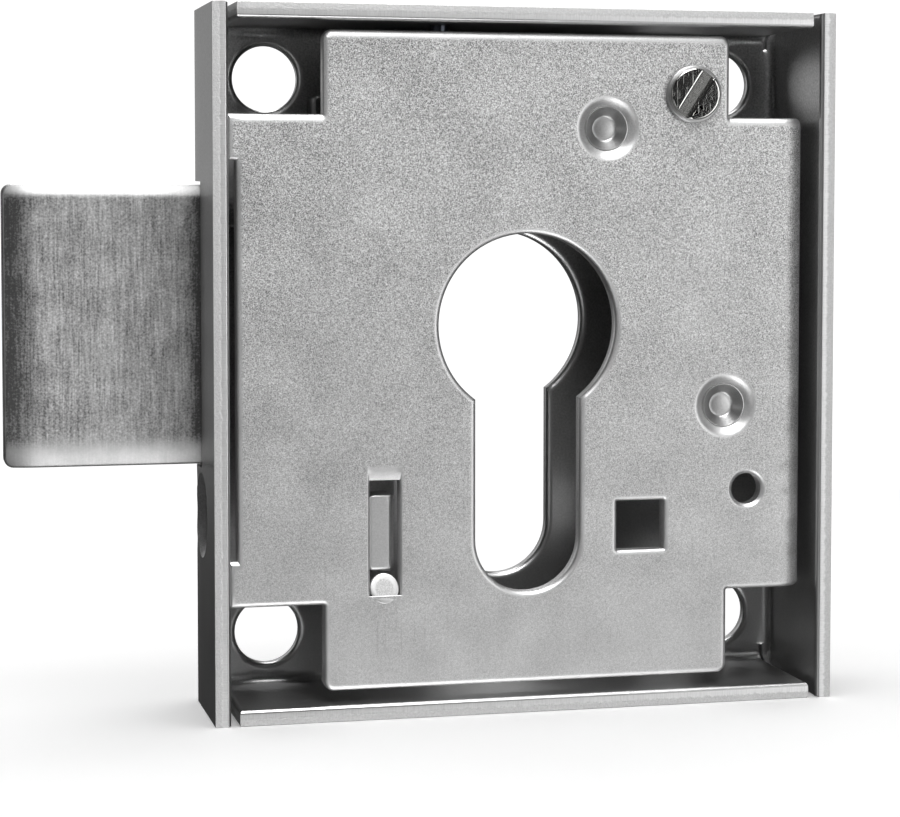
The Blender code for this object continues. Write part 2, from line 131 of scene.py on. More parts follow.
@dataclass
class MeshMaker:
    """Gathers vertices and faces of one piece and turns them into an object."""

    name: str
    spots: list[Array] = field(default_factory=list)
    wear: list[Array] = field(default_factory=list)
    corners: list[Array] = field(default_factory=list)
    uvs: list[Array] = field(default_factory=list)
    sides: list[Array] = field(default_factory=list)
    slots: list[Array] = field(default_factory=list)
    count: int = 0

    def points(self, xyz: Array, wear: Array | float = 0.0) -> Array:
        """Add vertices.

        Args:
            xyz: Lock millimetres, last axis of three.
            wear: How far each vertex is burnished, 0 to 1.

        Returns:
            The vertices' numbers, shaped like xyz without its last axis.
        """
        flat = np.asarray(xyz, float).reshape(-1, 3)
        numbers = np.arange(len(flat)) + self.count
        self.count += len(flat)
        self.spots.append(flat)
        self.wear.append(np.broadcast_to(wear, xyz.shape[:-1]).reshape(-1).astype(float))
        return numbers.reshape(xyz.shape[:-1])

    def faces(self, corners: Array, uv: Array | None = None, slot: int = 0) -> None:
        """Add faces of one size.

        Args:
            corners: Vertex numbers, one row a face.
            uv: Texture coordinates of every corner, or None.
            slot: Number of their material.
        """
        if not len(corners):
            return
        uv = np.zeros((*corners.shape, 2)) if uv is None else uv
        self.corners.append(corners.reshape(-1))
        self.uvs.append(np.asarray(uv, float).reshape(-1, 2))
        self.sides.append(np.full(len(corners), corners.shape[1]))
        self.slots.append(np.full(len(corners), slot))

    def build(self, materials: Sequence[bpy.types.Material], sharp: float = 32.0) -> bpy.types.Object:
        """Make the object.

        Args:
            materials: Materials in the order of the slot numbers.
            sharp: Angle in degrees past which an edge shades as a crease.

        Returns:
            The object, at the origin, with its place in its mesh.
        """
        mesh = bpy.data.meshes.new(self.name)
        spots = LOCK.place(np.concatenate(self.spots))
        loops = np.concatenate(self.corners)
        sides = np.concatenate(self.sides)
        mesh.vertices.add(len(spots))
        mesh.vertices.foreach_set("co", spots.ravel())
        mesh.loops.add(len(loops))
        mesh.loops.foreach_set("vertex_index", loops.astype(np.int32))
        mesh.polygons.add(len(sides))
        starts = np.concatenate([[0], np.cumsum(sides)[:-1]])
        mesh.polygons.foreach_set("loop_start", starts.astype(np.int32))
        mesh.polygons.foreach_set("material_index", np.concatenate(self.slots).astype(np.int32))
        mesh.update(calc_edges=True)
        uv = mesh.uv_layers.new(name="UVMap")
        uv.data.foreach_set("uv", np.concatenate(self.uvs).ravel())
        worn = mesh.attributes.new("worn", "FLOAT", "POINT")
        worn.data.foreach_set("value", np.concatenate(self.wear).astype(np.float32))
        for material in materials:
            mesh.materials.append(material)
        mesh.validate()
        mesh.shade_smooth()
        mesh.set_sharp_from_angle(angle=math.radians(sharp))
        piece = bpy.data.objects.new(self.name, mesh)
        bpy.context.scene.collection.objects.link(piece)
        return piece


def strip(low: Array, high: Array, closed: bool = True) -> Array:
    """Quads between two rows of vertices that run side by side.

    Args:
        low: Vertex numbers of the row that lies further in.
        high: Vertex numbers of the row further out.
        closed: Whether the rows join end to start.

    Returns:
        One row of four vertex numbers a quad.
    """
    quads = np.stack([low, high, np.roll(high, -1), np.roll(low, -1)], axis=-1)
    return quads if closed else quads[:-1]


# ---------------------------------------------------------------- plane outlines


def arc(centre: Sequence[float], radius: float, start: float, end: float, steps: int) -> Array:
    """Points on a circle: centre plus radius times cosine and sine of evenly spaced angles.

    Args:
        centre: Middle of the circle.
        radius: Its radius.
        start: First angle in degrees.
        end: Last angle in degrees.
        steps: Number of spaces between points.

    Returns:
        An array of steps + 1 points.
    """
    angles = np.radians(np.linspace(start, end, steps + 1))
    return np.asarray(centre) + radius * np.stack([np.cos(angles), np.sin(angles)], axis=1)


def circle(centre: Sequence[float], radius: float, steps: int = 48) -> Array:
    """Return a closed circle of evenly spaced points."""
    return arc(centre, radius, 0, 360, steps)[:-1]


def rectangle(low: Sequence[float], high: Sequence[float]) -> Array:
    """Return the four corners of a rectangle, anticlockwise."""
    return np.array([low, (high[0], low[1]), high, (low[0], high[1])], float)


def rounded(corners: Sequence[tuple[float, float, float]], steps: int = 6) -> Array:
    """Round each corner of an outline with its own radius.

    The two tangent points lie radius / tan(half angle) from the corner along its sides; the
    fillet between them is swept as an even turn about its own middle.

    Args:
        corners: (u, v, radius) in order.
        steps: Spaces in each fillet.

    Returns:
        The outline, without doubled points.
    """
    data = np.asarray(corners, float)
    here, radius = data[:, :2], data[:, 2:]
    back = np.roll(here, 1, axis=0) - here
    on = np.roll(here, -1, axis=0) - here
    back /= np.linalg.norm(back, axis=1, keepdims=True)
    on /= np.linalg.norm(on, axis=1, keepdims=True)
    half = np.arccos(np.clip((back * on).sum(1, keepdims=True), -1, 1)) / 2
    middle = here + (back + on) / np.linalg.norm(back + on, axis=1, keepdims=True) * radius / np.sin(half)
    first = here + back * radius / np.tan(half) - middle
    last = here + on * radius / np.tan(half) - middle
    turn = np.arctan2(first[:, 0] * last[:, 1] - first[:, 1] * last[:, 0], (first * last).sum(1))
    angle = turn[:, None] * np.linspace(0, 1, steps + 1)
    c, s = np.cos(angle), np.sin(angle)
    swept = np.stack([c * first[:, :1] - s * first[:, 1:], s * first[:, :1] + c * first[:, 1:]], axis=-1)
    loop = (middle[:, None] + swept).reshape(-1, 2)
    fresh = np.linalg.norm(loop - np.roll(loop, 1, axis=0), axis=1) > 1e-6
    return loop[fresh]


def resampled(loop: Array, spacing: float, across: Sequence[tuple[int, Array]] = ()) -> Array:
    """Add points along the sides of a closed loop, and keep its own.

    Each side is split into equal parts no longer than spacing, and also wherever it crosses
    one of the given lines of constant u or v.

    Args:
        loop: Closed outline.
        spacing: Longest part in millimetres.
        across: (axis, values) pairs of lines that must meet the loop at a point.

    Returns:
        The finer loop.
    """
    ends = np.roll(loop, -1, axis=0)
    parts = np.maximum(1, np.ceil(np.linalg.norm(ends - loop, axis=1) / spacing)).astype(int)
    side = np.repeat(np.arange(len(loop)), parts)
    share = (np.arange(len(side)) - np.repeat(np.cumsum(parts) - parts, parts)) / parts[side]
    marks = [side + share]
    for axis, values in across:
        span = (ends - loop)[:, axis, None]
        with np.errstate(divide="ignore", invalid="ignore"):
            met = (np.asarray(values)[None, :] - loop[:, axis, None]) / span
        hits = np.argwhere((np.abs(span) > 1e-9) & (met > 1e-6) & (met < 1 - 1e-6))
        marks.append(hits[:, 0] + met[hits[:, 0], hits[:, 1]])
    where = np.sort(np.concatenate(marks))
    where = where[np.concatenate([[True], np.diff(where) > 1e-5])]
    side = np.minimum(where.astype(int), len(loop) - 1)
    return loop[side] + (ends - loop)[side] * (where - side)[:, None]


def signed_area(loop: Array) -> float:
    """Return the area inside a loop, positive where it runs anticlockwise."""
    after = np.roll(loop, -1, axis=0)
    return float((loop[:, 0] * after[:, 1] - loop[:, 1] * after[:, 0]).sum() / 2)


def mitres(loop: Array) -> Array:
    """Vectors that move a loop's points one millimetre into the material on its left.

    Each is the sum of the two sides' left normals over one plus their dot product.

    Args:
        loop: Closed loop.

    Returns:
        One vector a point.
    """
    along = np.roll(loop, -1, axis=0) - loop
    along /= np.linalg.norm(along, axis=1, keepdims=True)
    normal = np.stack([-along[:, 1], along[:, 0]], axis=1)
    before = np.roll(normal, 1, axis=0)
    return (before + normal) / (1 + (before * normal).sum(1, keepdims=True))


def inside(points: Array, rings: Sequence[Array]) -> Array:
    """Whether each point lies in the area between rings, by counting crossed sides.

    Args:
        points: Points to test.
        rings: Closed loops, holes among them.

    Returns:
        One truth value a point.
    """
    start = np.concatenate(rings)
    end = np.concatenate([np.roll(ring, -1, axis=0) for ring in rings])
    straddles = (start[None, :, 1] > points[:, None, 1]) != (end[None, :, 1] > points[:, None, 1])
    rise = np.where(np.abs(end[:, 1] - start[:, 1]) < 1e-12, 1.0, end[:, 1] - start[:, 1])
    reach = (end[:, 0] - start[:, 0]) * (points[:, None, 1] - start[:, 1]) / rise + start[:, 0]
    return ((straddles & (points[:, None, 0] < reach)).sum(1) % 2) == 1


def clearance(points: Array, rings: Sequence[Array]) -> Array:
    """Return each point's distance to the nearest side of the rings."""
    start = np.concatenate(rings)
    side = np.concatenate([np.roll(ring, -1, axis=0) for ring in rings]) - start
    apart = points[:, None] - start[None]
    share = np.clip((apart * side).sum(2) / np.maximum((side**2).sum(1), 1e-12), 0, 1)
    return np.linalg.norm(apart - share[..., None] * side, axis=2).min(1)


def filled(rings: Sequence[Array], spare: Array, margin: float = 0.18) -> tuple[Array, Array]:
    """Triangulate the area between rings with extra points inside it.

    Args:
        rings: Closed loops, the outer one and its holes.
        spare: Points that may be used inside.
        margin: Least distance of a used spare point from the rings.

    Returns:
        The spare points that were used, and triangles that number the rings' points first.
    """
    used = spare[inside(spare, rings)] if len(spare) else np.zeros((0, 2))
    if len(used):
        used = used[clearance(used, rings) > margin]
    starts = np.cumsum([0] + [len(ring) for ring in rings])
    sides = [
        np.stack([np.arange(len(r)), np.roll(np.arange(len(r)), -1)], axis=1) + s
        for r, s in zip(rings, starts)
    ]
    spots = np.concatenate([*rings, used])
    made = delaunay_2d_cdt(spots.tolist(), np.concatenate(sides).tolist(), [], 0, 1e-6)
    source = np.array([numbers[0] for numbers in made[3]])
    triangles = source[np.array(made[2])]
    return used, triangles[inside(spots[triangles].mean(1), rings)]


# ---------------------------------------------------------------- punched sheet


@dataclass(frozen=True)
class EdgeSection:
    """Section of a punched edge: a roll where the punch went in, then shear, then tear.

    Sizes are millimetres; burnish is the share of the wall that is sheared smooth.
    """

    roll_width: float = 0.5
    roll_depth: float = 0.4
    burnish: float = 0.45
    tear: float = 0.05
    flare: float = 0.0
    lead: float = 0.12
    steps: int = 7
    conical: bool = False

    def rows(self) -> tuple[Array, Array, Array, Array]:
        """Section as rows from the front face to the back face.

        The roll is a quarter ellipse, inset one minus sine and depth one minus cosine, or a
        cone that starts softly, whose depth is its share of the width to the power 1.8.

        Returns:
            Shares of the roll's width, further insets in millimetres, shares of the roll's
            depth, and shares of the wall under the roll.
        """
        a = np.linspace(0, np.pi / 2, self.steps + 1)
        out = self.tear + self.flare
        share, fall = (a / a[-1], (a / a[-1]) ** 1.8) if self.conical else (np.sin(a), 1 - np.cos(a))
        inset = np.concatenate([[1.0], 1 - share, np.zeros(4)])
        extra = np.concatenate(
            [[self.lead], np.zeros(len(a)), [0.0, out, out + 0.04, out + 0.04 + self.lead]]
        )
        roll = np.concatenate([[0.0], fall, np.ones(4)])
        wall = np.concatenate([np.zeros(len(a) + 1), [self.burnish, 0.97, 1.0, 1.0]])
        return inset, extra, roll, wall


@dataclass(frozen=True)
class Cut:
    """One closed cut in the flat sheet, with the section of its edge.

    over and under scale the roll's width and depth on sides whose material lies above or
    below them.  family gives the loop at any inset, for outlines too sharp for mitres.
    """

    loop: Array
    section: EdgeSection
    over: tuple[float, float] = (1.0, 1.0)
    under: tuple[float, float] = (1.0, 1.0)
    is_hole: bool = True
    family: Callable[[float], Array] | None = None

    def turned(self) -> Array:
        """Return the loop so that the material lies on its left."""
        anticlockwise = signed_area(self.loop) > 0
        return self.loop[::-1] if anticlockwise == self.is_hole else self.loop


@dataclass
class SheetPart:
    """Plate of constant thickness cut by closed loops, then bent by a function."""

    thickness: float
    bend: Bend
    spare: Array
    polish: Callable[[Array, Array], Array] | None = None

    def worn(self, u: Array, v: Array) -> Array | float:
        """Return how far the flat faces are burnished at the given plan points."""
        return self.polish(u, v) if self.polish else 0.0

    def add(self, maker: MeshMaker, cuts: Sequence[Cut]) -> None:
        """Add the plate to a mesh.

        For every cut, row k of its section lies at the loop plus the mitre times the row's
        inset, at the row's depth; the flat areas between first and last rows are filled.

        Args:
            maker: Mesh that takes the faces.
            cuts: The outline and its holes.
        """
        fronts: list[Array] = []
        backs: list[Array] = []
        front_ids: list[Array] = []
        back_ids: list[Array] = []
        for cut in cuts:
            loop = cut.turned()
            rows, depth, wear = self.section_rows(cut, loop)
            ids = maker.points(self.bend(rows[..., 0], rows[..., 1], depth), wear)
            self.add_edge(maker, cut, loop, ids, depth)
            fronts.append(rows[0])
            backs.append(rows[-1])
            front_ids.append(ids[0])
            back_ids.append(ids[-1])
        self.add_flat(maker, fronts, front_ids, 0.0, Face.FRONT)
        self.add_flat(maker, backs, back_ids, self.thickness, Face.BACK)

    def section_rows(self, cut: Cut, loop: Array) -> tuple[Array, Array, Array]:
        """Rows of points that carry a cut's section along its loop.

        Args:
            cut: The cut.
            loop: Its turned loop.

        Returns:
            Plan points by row and place, their depths, and how far they are burnished.
        """
        section = cut.section
        share, extra, roll, wall = section.rows()
        into = mitres(loop)
        reach = np.ones_like(into) * section.roll_width
        roll_depth = np.full(len(into), section.roll_depth)
        for chosen, (wide, deep) in ((into[:, 1] > 0.3, cut.over), (into[:, 1] < -0.3, cut.under)):
            reach[chosen, 1] *= wide
            roll_depth[chosen] *= deep
        inset = share[:, None, None] * reach + extra[:, None, None]
        rows = loop + into * inset
        if cut.family:
            rows = np.stack([cut.family(float(i)) for i in share * section.roll_width + extra])
        depth = roll[:, None] * roll_depth + wall[:, None] * (self.thickness - roll_depth)
        worn = np.where(wall > 0, 0.0, np.where(extra > 0, 0.0, 1.0))
        worn[1] = 0.35
        return rows, depth, np.maximum(
            worn[:, None], self.worn(rows[..., 0], rows[..., 1]) * np.ones(depth.shape)
        )

    def add_edge(self, maker: MeshMaker, cut: Cut, loop: Array, ids: Array, depth: Array) -> None:
        """Add a cut's edge as quads; the wall's texture runs along and through the sheet.

        Args:
            maker: Mesh that takes the faces.
            cut: The cut.
            loop: Its turned loop.
            ids: Vertex numbers by row and place.
            depth: Depths of those vertices.
        """
        along = np.concatenate([[0.0], np.cumsum(np.linalg.norm(np.roll(loop, -1, axis=0) - loop, axis=1))])
        rolls = cut.section.steps + 1
        for k in range(len(ids) - 1):
            low, high = depth[k] / self.thickness, depth[k + 1] / self.thickness
            u0, u1 = along[:-1], along[1:]
            uv = np.stack(
                [
                    np.stack([u0, low], axis=1),
                    np.stack([u0, high], axis=1),
                    np.stack([u1, np.roll(high, -1)], axis=1),
                    np.stack([u1, np.roll(low, -1)], axis=1),
                ],
                axis=1,
            )
            is_last = k == len(ids) - 2
            kind = Face.FRONT if k < rolls else Face.BACK if is_last else Face.SHEAR
            maker.faces(strip(ids[k], ids[k + 1]), uv, kind.value)

    def add_flat(
        self, maker: MeshMaker, rings: list[Array], ids: list[Array], depth: float, kind: Face
    ) -> None:
        """Fill the front or back face between the edges.

        Args:
            maker: Mesh that takes the faces.
            rings: Plan points of the edges' last rows on this face.
            ids: Their vertex numbers.
            depth: Depth of the face under the front.
            kind: Which face it is.
        """
        used, triangles = filled(rings, self.spare)
        u, v = used[:, 0], used[:, 1]
        numbers = np.concatenate(
            [*ids, maker.points(self.bend(u, v, np.full(len(used), depth)), self.worn(u, v))]
        )
        plan = np.concatenate([*rings, used])[triangles]
        across, down = plan[:, 1] - plan[:, 0], plan[:, 2] - plan[:, 0]
        area = across[:, 0] * down[:, 1] - across[:, 1] * down[:, 0]
        wrong = (area > 0) != (kind is Face.FRONT)
        triangles[wrong] = triangles[wrong][:, ::-1]
        plan = np.concatenate([*rings, used])[triangles]
        maker.faces(numbers[triangles], plan, kind.value)


def grid(u: Array, v: Array) -> Array:
    """Return every pair of the given u and v values as points."""
    return np.stack(np.meshgrid(u, v, indexing="ij"), axis=-1).reshape(-1, 2)


def flat_sheet(front: float) -> Bend:
    """Return the bend of a plate that stays flat with its front face at depth front."""
    return lambda u, v, h: np.stack(np.broadcast_arrays(u, front + h, v), axis=-1)


def turned_surface(
    maker: MeshMaker, profile: Array, centre: Sequence[float], steps: int = 64, slot: int = 0
) -> None:
    """Add a closed surface of revolution about an axis that runs along y.

    A profile of (radius, depth) pairs is carried round: x and z are the centre plus radius
    times cosine and sine.  Texture v is the distance travelled along the profile.

    Args:
        maker: Mesh that takes the faces.
        profile: From the front middle outwards and then to the back middle.
        centre: x and z of the axis.
        steps: Points round the axis.
        slot: Number of the material.
    """
    angle = np.arange(steps) / steps * 2 * np.pi
    radius, depth = profile[:, 0, None], profile[:, 1, None]
    x = centre[0] + radius * np.cos(angle)
    z = centre[1] + radius * np.sin(angle)
    ids = maker.points(np.stack([x, depth + 0 * x, z], axis=-1), 0.0)
    travel = np.concatenate([[0.0], np.cumsum(np.linalg.norm(np.diff(profile, axis=0), axis=1))])
    travel += profile[0, 0]
    u0, u1 = np.arange(steps) / steps, (np.arange(steps) + 1) / steps
    for k in range(len(ids) - 1):
        low, high = np.full(steps, travel[k]), np.full(steps, travel[k + 1])
        sides = [np.stack(pair, axis=1) for pair in ((u0, low), (u0, high), (u1, high), (u1, low))]
        maker.faces(strip(ids[k], ids[k + 1]), np.stack(sides, axis=1), slot)
    for row, order, far in ((ids[0], 1, 0.0), (ids[-1], -1, travel[-1] + profile[-1, 0])):
        level = profile[0, 1] if order == 1 else profile[-1, 1]
        hub = maker.points(np.array([[centre[0], level, centre[1]]]), 0.0)
        fan = np.stack([np.broadcast_to(hub, row.shape), row, np.roll(row, -1)], axis=1)
        rim = travel[0] if order == 1 else travel[-1]
        uv = np.stack(
            [
                np.stack([u0, u0 * 0 + far], 1),
                np.stack([u0, u0 * 0 + rim], 1),
                np.stack([u1, u0 * 0 + rim], 1)
            ],
            axis=1
        )
        maker.faces(fan[:, ::order], uv[:, ::order], slot)


# ---------------------------------------------------------------- finishes


def linear(hex_colour: str) -> tuple[float, float, float, float]:
    """Turn an sRGB hex colour into linear red, green, blue and full alpha."""
    codes = np.array([int(hex_colour[i : i + 2], 16) for i in (1, 3, 5)]) / 255
    levels = np.where(codes <= 0.04045, codes / 12.92, ((codes + 0.055) / 1.055) ** 2.4)
    return (*levels.tolist(), 1.0)


def node(
    tree: bpy.types.NodeTree, kind: str, inputs: dict | None = None, **settings: object
) -> bpy.types.Node:
    """Add one node with its settings and links.

    Args:
        tree: Node tree that takes it.
        kind: Blender's name of the node.
        inputs: Value or output socket for each input, by name or number.
        **settings: Properties of the node.

    Returns:
        The node.
    """
    made = tree.nodes.new(kind)
    for name, value in settings.items():
        setattr(made, name, value)
    for name, value in (inputs or {}).items():
        if isinstance(value, bpy.types.NodeSocket):
            tree.links.new(value, made.inputs[name])
        else:
            made.inputs[name].default_value = value
    return made


def per_mm(size: float) -> float:
    """Return the scale of a pattern whose features are size millimetres, on metre coordinates."""
    return 1.0 / (size * MM)


@dataclass(frozen=True)
class Finish:
    """A metal finish: two colours that a pattern mixes, and the ends of its roughness."""

    name: str
    light: str
    dark: str
    smooth: float
    rough: float

    def material(self) -> bpy.types.Material:
        """Return the material, made on first use."""
        if self.name in bpy.data.materials:
            return bpy.data.materials[self.name]
        made = bpy.data.materials.new(self.name)
        made.use_nodes = True
        tree = made.node_tree
        shader = tree.nodes["Principled BSDF"]
        shader.inputs["Metallic"].default_value = 1.0
        self.dress(tree, shader)
        return made

    def dress(self, tree: bpy.types.NodeTree, shader: bpy.types.Node) -> None:
        """Add the pattern's nodes; each finish has its own."""
        raise NotImplementedError

    def tone(self, tree: bpy.types.NodeTree, shader: bpy.types.Node, colour: object, rough: object) -> None:
        """Mix the two colours and the two roughnesses by pattern values.

        Args:
            tree: The material's tree.
            shader: Its shader.
            colour: Socket from 0, dark, to 1, light.
            rough: Socket from 0, smooth, to 1, rough.
        """
        ramp = node(
            tree,
            "ShaderNodeMix",
            {"Factor": colour, "A": linear(self.dark), "B": linear(self.light)},
            data_type="RGBA"
        )
        ramp.inputs[6].default_value = linear(self.dark)
        ramp.inputs[7].default_value = linear(self.light)
        tree.links.new(ramp.outputs[2], shader.inputs["Base Color"])
        scale = node(tree, "ShaderNodeMapRange", {0: rough, 3: self.smooth, 4: self.rough})
        tree.links.new(scale.outputs[0], shader.inputs["Roughness"])


def combine(
    tree: bpy.types.NodeTree, operation: str, a: object, b: object, clamp: bool = False
) -> bpy.types.NodeSocket:
    """Return the output of one arithmetic step on two sockets or numbers."""
    return node(tree, "ShaderNodeMath", {0: a, 1: b}, operation=operation, use_clamp=clamp).outputs[0]


@dataclass(frozen=True)
class PlatedSheet(Finish):
    """Cold-rolled sheet steel, tumbled and zinc plated: a matt, sparkling salt-and-pepper grain.

    grain is the size of the sparkle, mottle that of slow changes, both in millimetres;
    relief is the height of the grain in millimetres.  The grain swells from calm at the
    lower height of swell_z to full at the upper one.
    """

    grain: float = 0.11
    mottle: float = 5.0
    relief: float = 0.012
    contrast: float = 3.5
    swell_z: tuple[float, float] = (6.0, 52.0)
    calm: float = 0.24

    def dress(self, tree: bpy.types.NodeTree, shader: bpy.types.Node) -> None:
        """Sparkling grain, slow mottle, a few hairline scratches, and burnished rolled edges that are also
        lightened as painted highlight.
        """
        spot = node(tree, "ShaderNodeTexCoord").outputs["Object"]
        grain = node(
            tree,
            "ShaderNodeTexNoise",
            {"Vector": spot, "Scale": per_mm(self.grain), "Detail": 2.0, "Roughness": 0.6}
        ).outputs[0]
        coarse = node(
            tree, "ShaderNodeTexNoise", {"Vector": spot, "Scale": per_mm(self.grain * 2.6), "Detail": 2.0}
        ).outputs[0]
        mottle = node(
            tree, "ShaderNodeTexNoise", {"Vector": spot, "Scale": per_mm(self.mottle), "Detail": 3.0}
        ).outputs[0]
        height = node(tree, "ShaderNodeSeparateXYZ", {0: spot}).outputs[2]
        loud = node(
            tree,
            "ShaderNodeMapRange",
            {0: height, 1: self.swell_z[0] * MM, 2: self.swell_z[1] * MM, 3: self.calm, 4: 1.0}
        ).outputs[0]
        worn = node(tree, "ShaderNodeAttribute", attribute_name="worn").outputs["Fac"]
        keen = combine(
            tree, "MULTIPLY", loud, combine(tree, "SUBTRACT", 1.0, combine(tree, "MULTIPLY", worn, 0.8))
        )
        drag = node(
            tree,
            "ShaderNodeMapping",
            {"Vector": spot, "Rotation": (0.0, 0.6, 0.0), "Scale": (per_mm(0.05), per_mm(0.3), per_mm(9.0))}
        ).outputs[0]
        hair = node(tree, "ShaderNodeTexNoise", {"Vector": drag, "Scale": 1.0, "Detail": 1.0}).outputs[0]
        hair = node(tree, "ShaderNodeMapRange", {0: hair, 1: 0.70, 2: 0.78}).outputs[0]
        speck = combine(
            tree, "ADD", combine(tree, "MULTIPLY", grain, 0.82), combine(tree, "MULTIPLY", coarse, 0.18)
        )
        swing = combine(
            tree,
            "MULTIPLY",
            combine(tree, "SUBTRACT", speck, 0.5),
            combine(tree, "MULTIPLY", keen, self.contrast)
        )
        slow = combine(tree, "MULTIPLY", combine(tree, "SUBTRACT", mottle, 0.5), 0.3)
        base = combine(tree, "ADD", 0.5, slow)
        # Rolled edges: burnished, so smoother, and also lifted 0.22 in colour all round, which is a painted
        # highlight.
        polish = combine(tree, "MULTIPLY", worn, 0.22)
        colour = combine(tree, "ADD", combine(tree, "ADD", base, swing), polish, clamp=True)
        dull = combine(tree, "ADD", base, combine(tree, "MULTIPLY", swing, 0.3))
        rough = combine(tree, "SUBTRACT", dull, combine(tree, "MULTIPLY", polish, 1.4), clamp=True)
        self.tone(tree, shader, colour, rough)
        tall = combine(
            tree, "SUBTRACT", combine(tree, "MULTIPLY", speck, keen), combine(tree, "MULTIPLY", hair, 0.5)
        )
        bump = node(tree, "ShaderNodeBump", {"Height": tall, "Distance": self.relief * MM, "Strength": 1.0})
        tree.links.new(bump.outputs[0], shader.inputs["Normal"])


@dataclass(frozen=True)
class ShearedEdge(Finish):
    """Bare punched edge: a smooth bright band from the shear, then a torn dull one."""

    burnish: float = 0.5

    def dress(self, tree: bpy.types.NodeTree, shader: bpy.types.Node) -> None:
        """Texture u runs along the edge in millimetres and v through the sheet, 0 to 1."""
        uv = node(tree, "ShaderNodeTexCoord").outputs["UV"]
        part = node(tree, "ShaderNodeSeparateXYZ", {0: uv})
        wander = node(
            tree,
            "ShaderNodeTexNoise",
            {"W": part.outputs[0], "Scale": 1.6, "Detail": 3.0},
            noise_dimensions="1D"
        ).outputs[0]
        level = combine(
            tree,
            "ADD",
            part.outputs[1],
            combine(tree, "MULTIPLY", combine(tree, "SUBTRACT", wander, 0.5), 0.25)
        )
        torn = node(
            tree, "ShaderNodeMapRange", {0: level, 1: self.burnish, 2: self.burnish + 0.12}
        ).outputs[0]
        drawn = node(tree, "ShaderNodeMapping", {"Vector": uv, "Scale": (9.0, 0.5, 1.0)}).outputs[0]
        lines = node(
            tree, "ShaderNodeTexNoise", {"Vector": drawn, "Scale": 1.0, "Detail": 3.0, "Roughness": 0.7}
        ).outputs[0]
        chips = node(
            tree,
            "ShaderNodeTexNoise",
            {
                "Vector": node(
                    tree, "ShaderNodeMapping", {"Vector": uv, "Scale": (5.0, 7.0, 1.0)}
                ).outputs[0],
                "Scale": 1.0,
                "Detail": 4.0,
                "Roughness": 0.75
            }
        ).outputs[0]
        mixed = node(tree, "ShaderNodeMix", {"Factor": torn, 2: lines, 3: chips}).outputs[0]
        colour = combine(
            tree,
            "SUBTRACT",
            combine(tree, "ADD", 0.45, mixed),
            combine(tree, "MULTIPLY", torn, 0.35),
            clamp=True
        )
        rough = combine(
            tree,
            "ADD",
            combine(tree, "MULTIPLY", torn, 0.6),
            combine(tree, "MULTIPLY", mixed, 0.4),
            clamp=True
        )
        self.tone(tree, shader, colour, rough)
        size = combine(tree, "ADD", 0.2, combine(tree, "MULTIPLY", torn, 0.8))
        bump = node(
            tree,
            "ShaderNodeBump",
            {"Height": combine(tree, "MULTIPLY", mixed, size), "Distance": 0.05 * MM}
        )
        tree.links.new(bump.outputs[0], shader.inputs["Normal"])


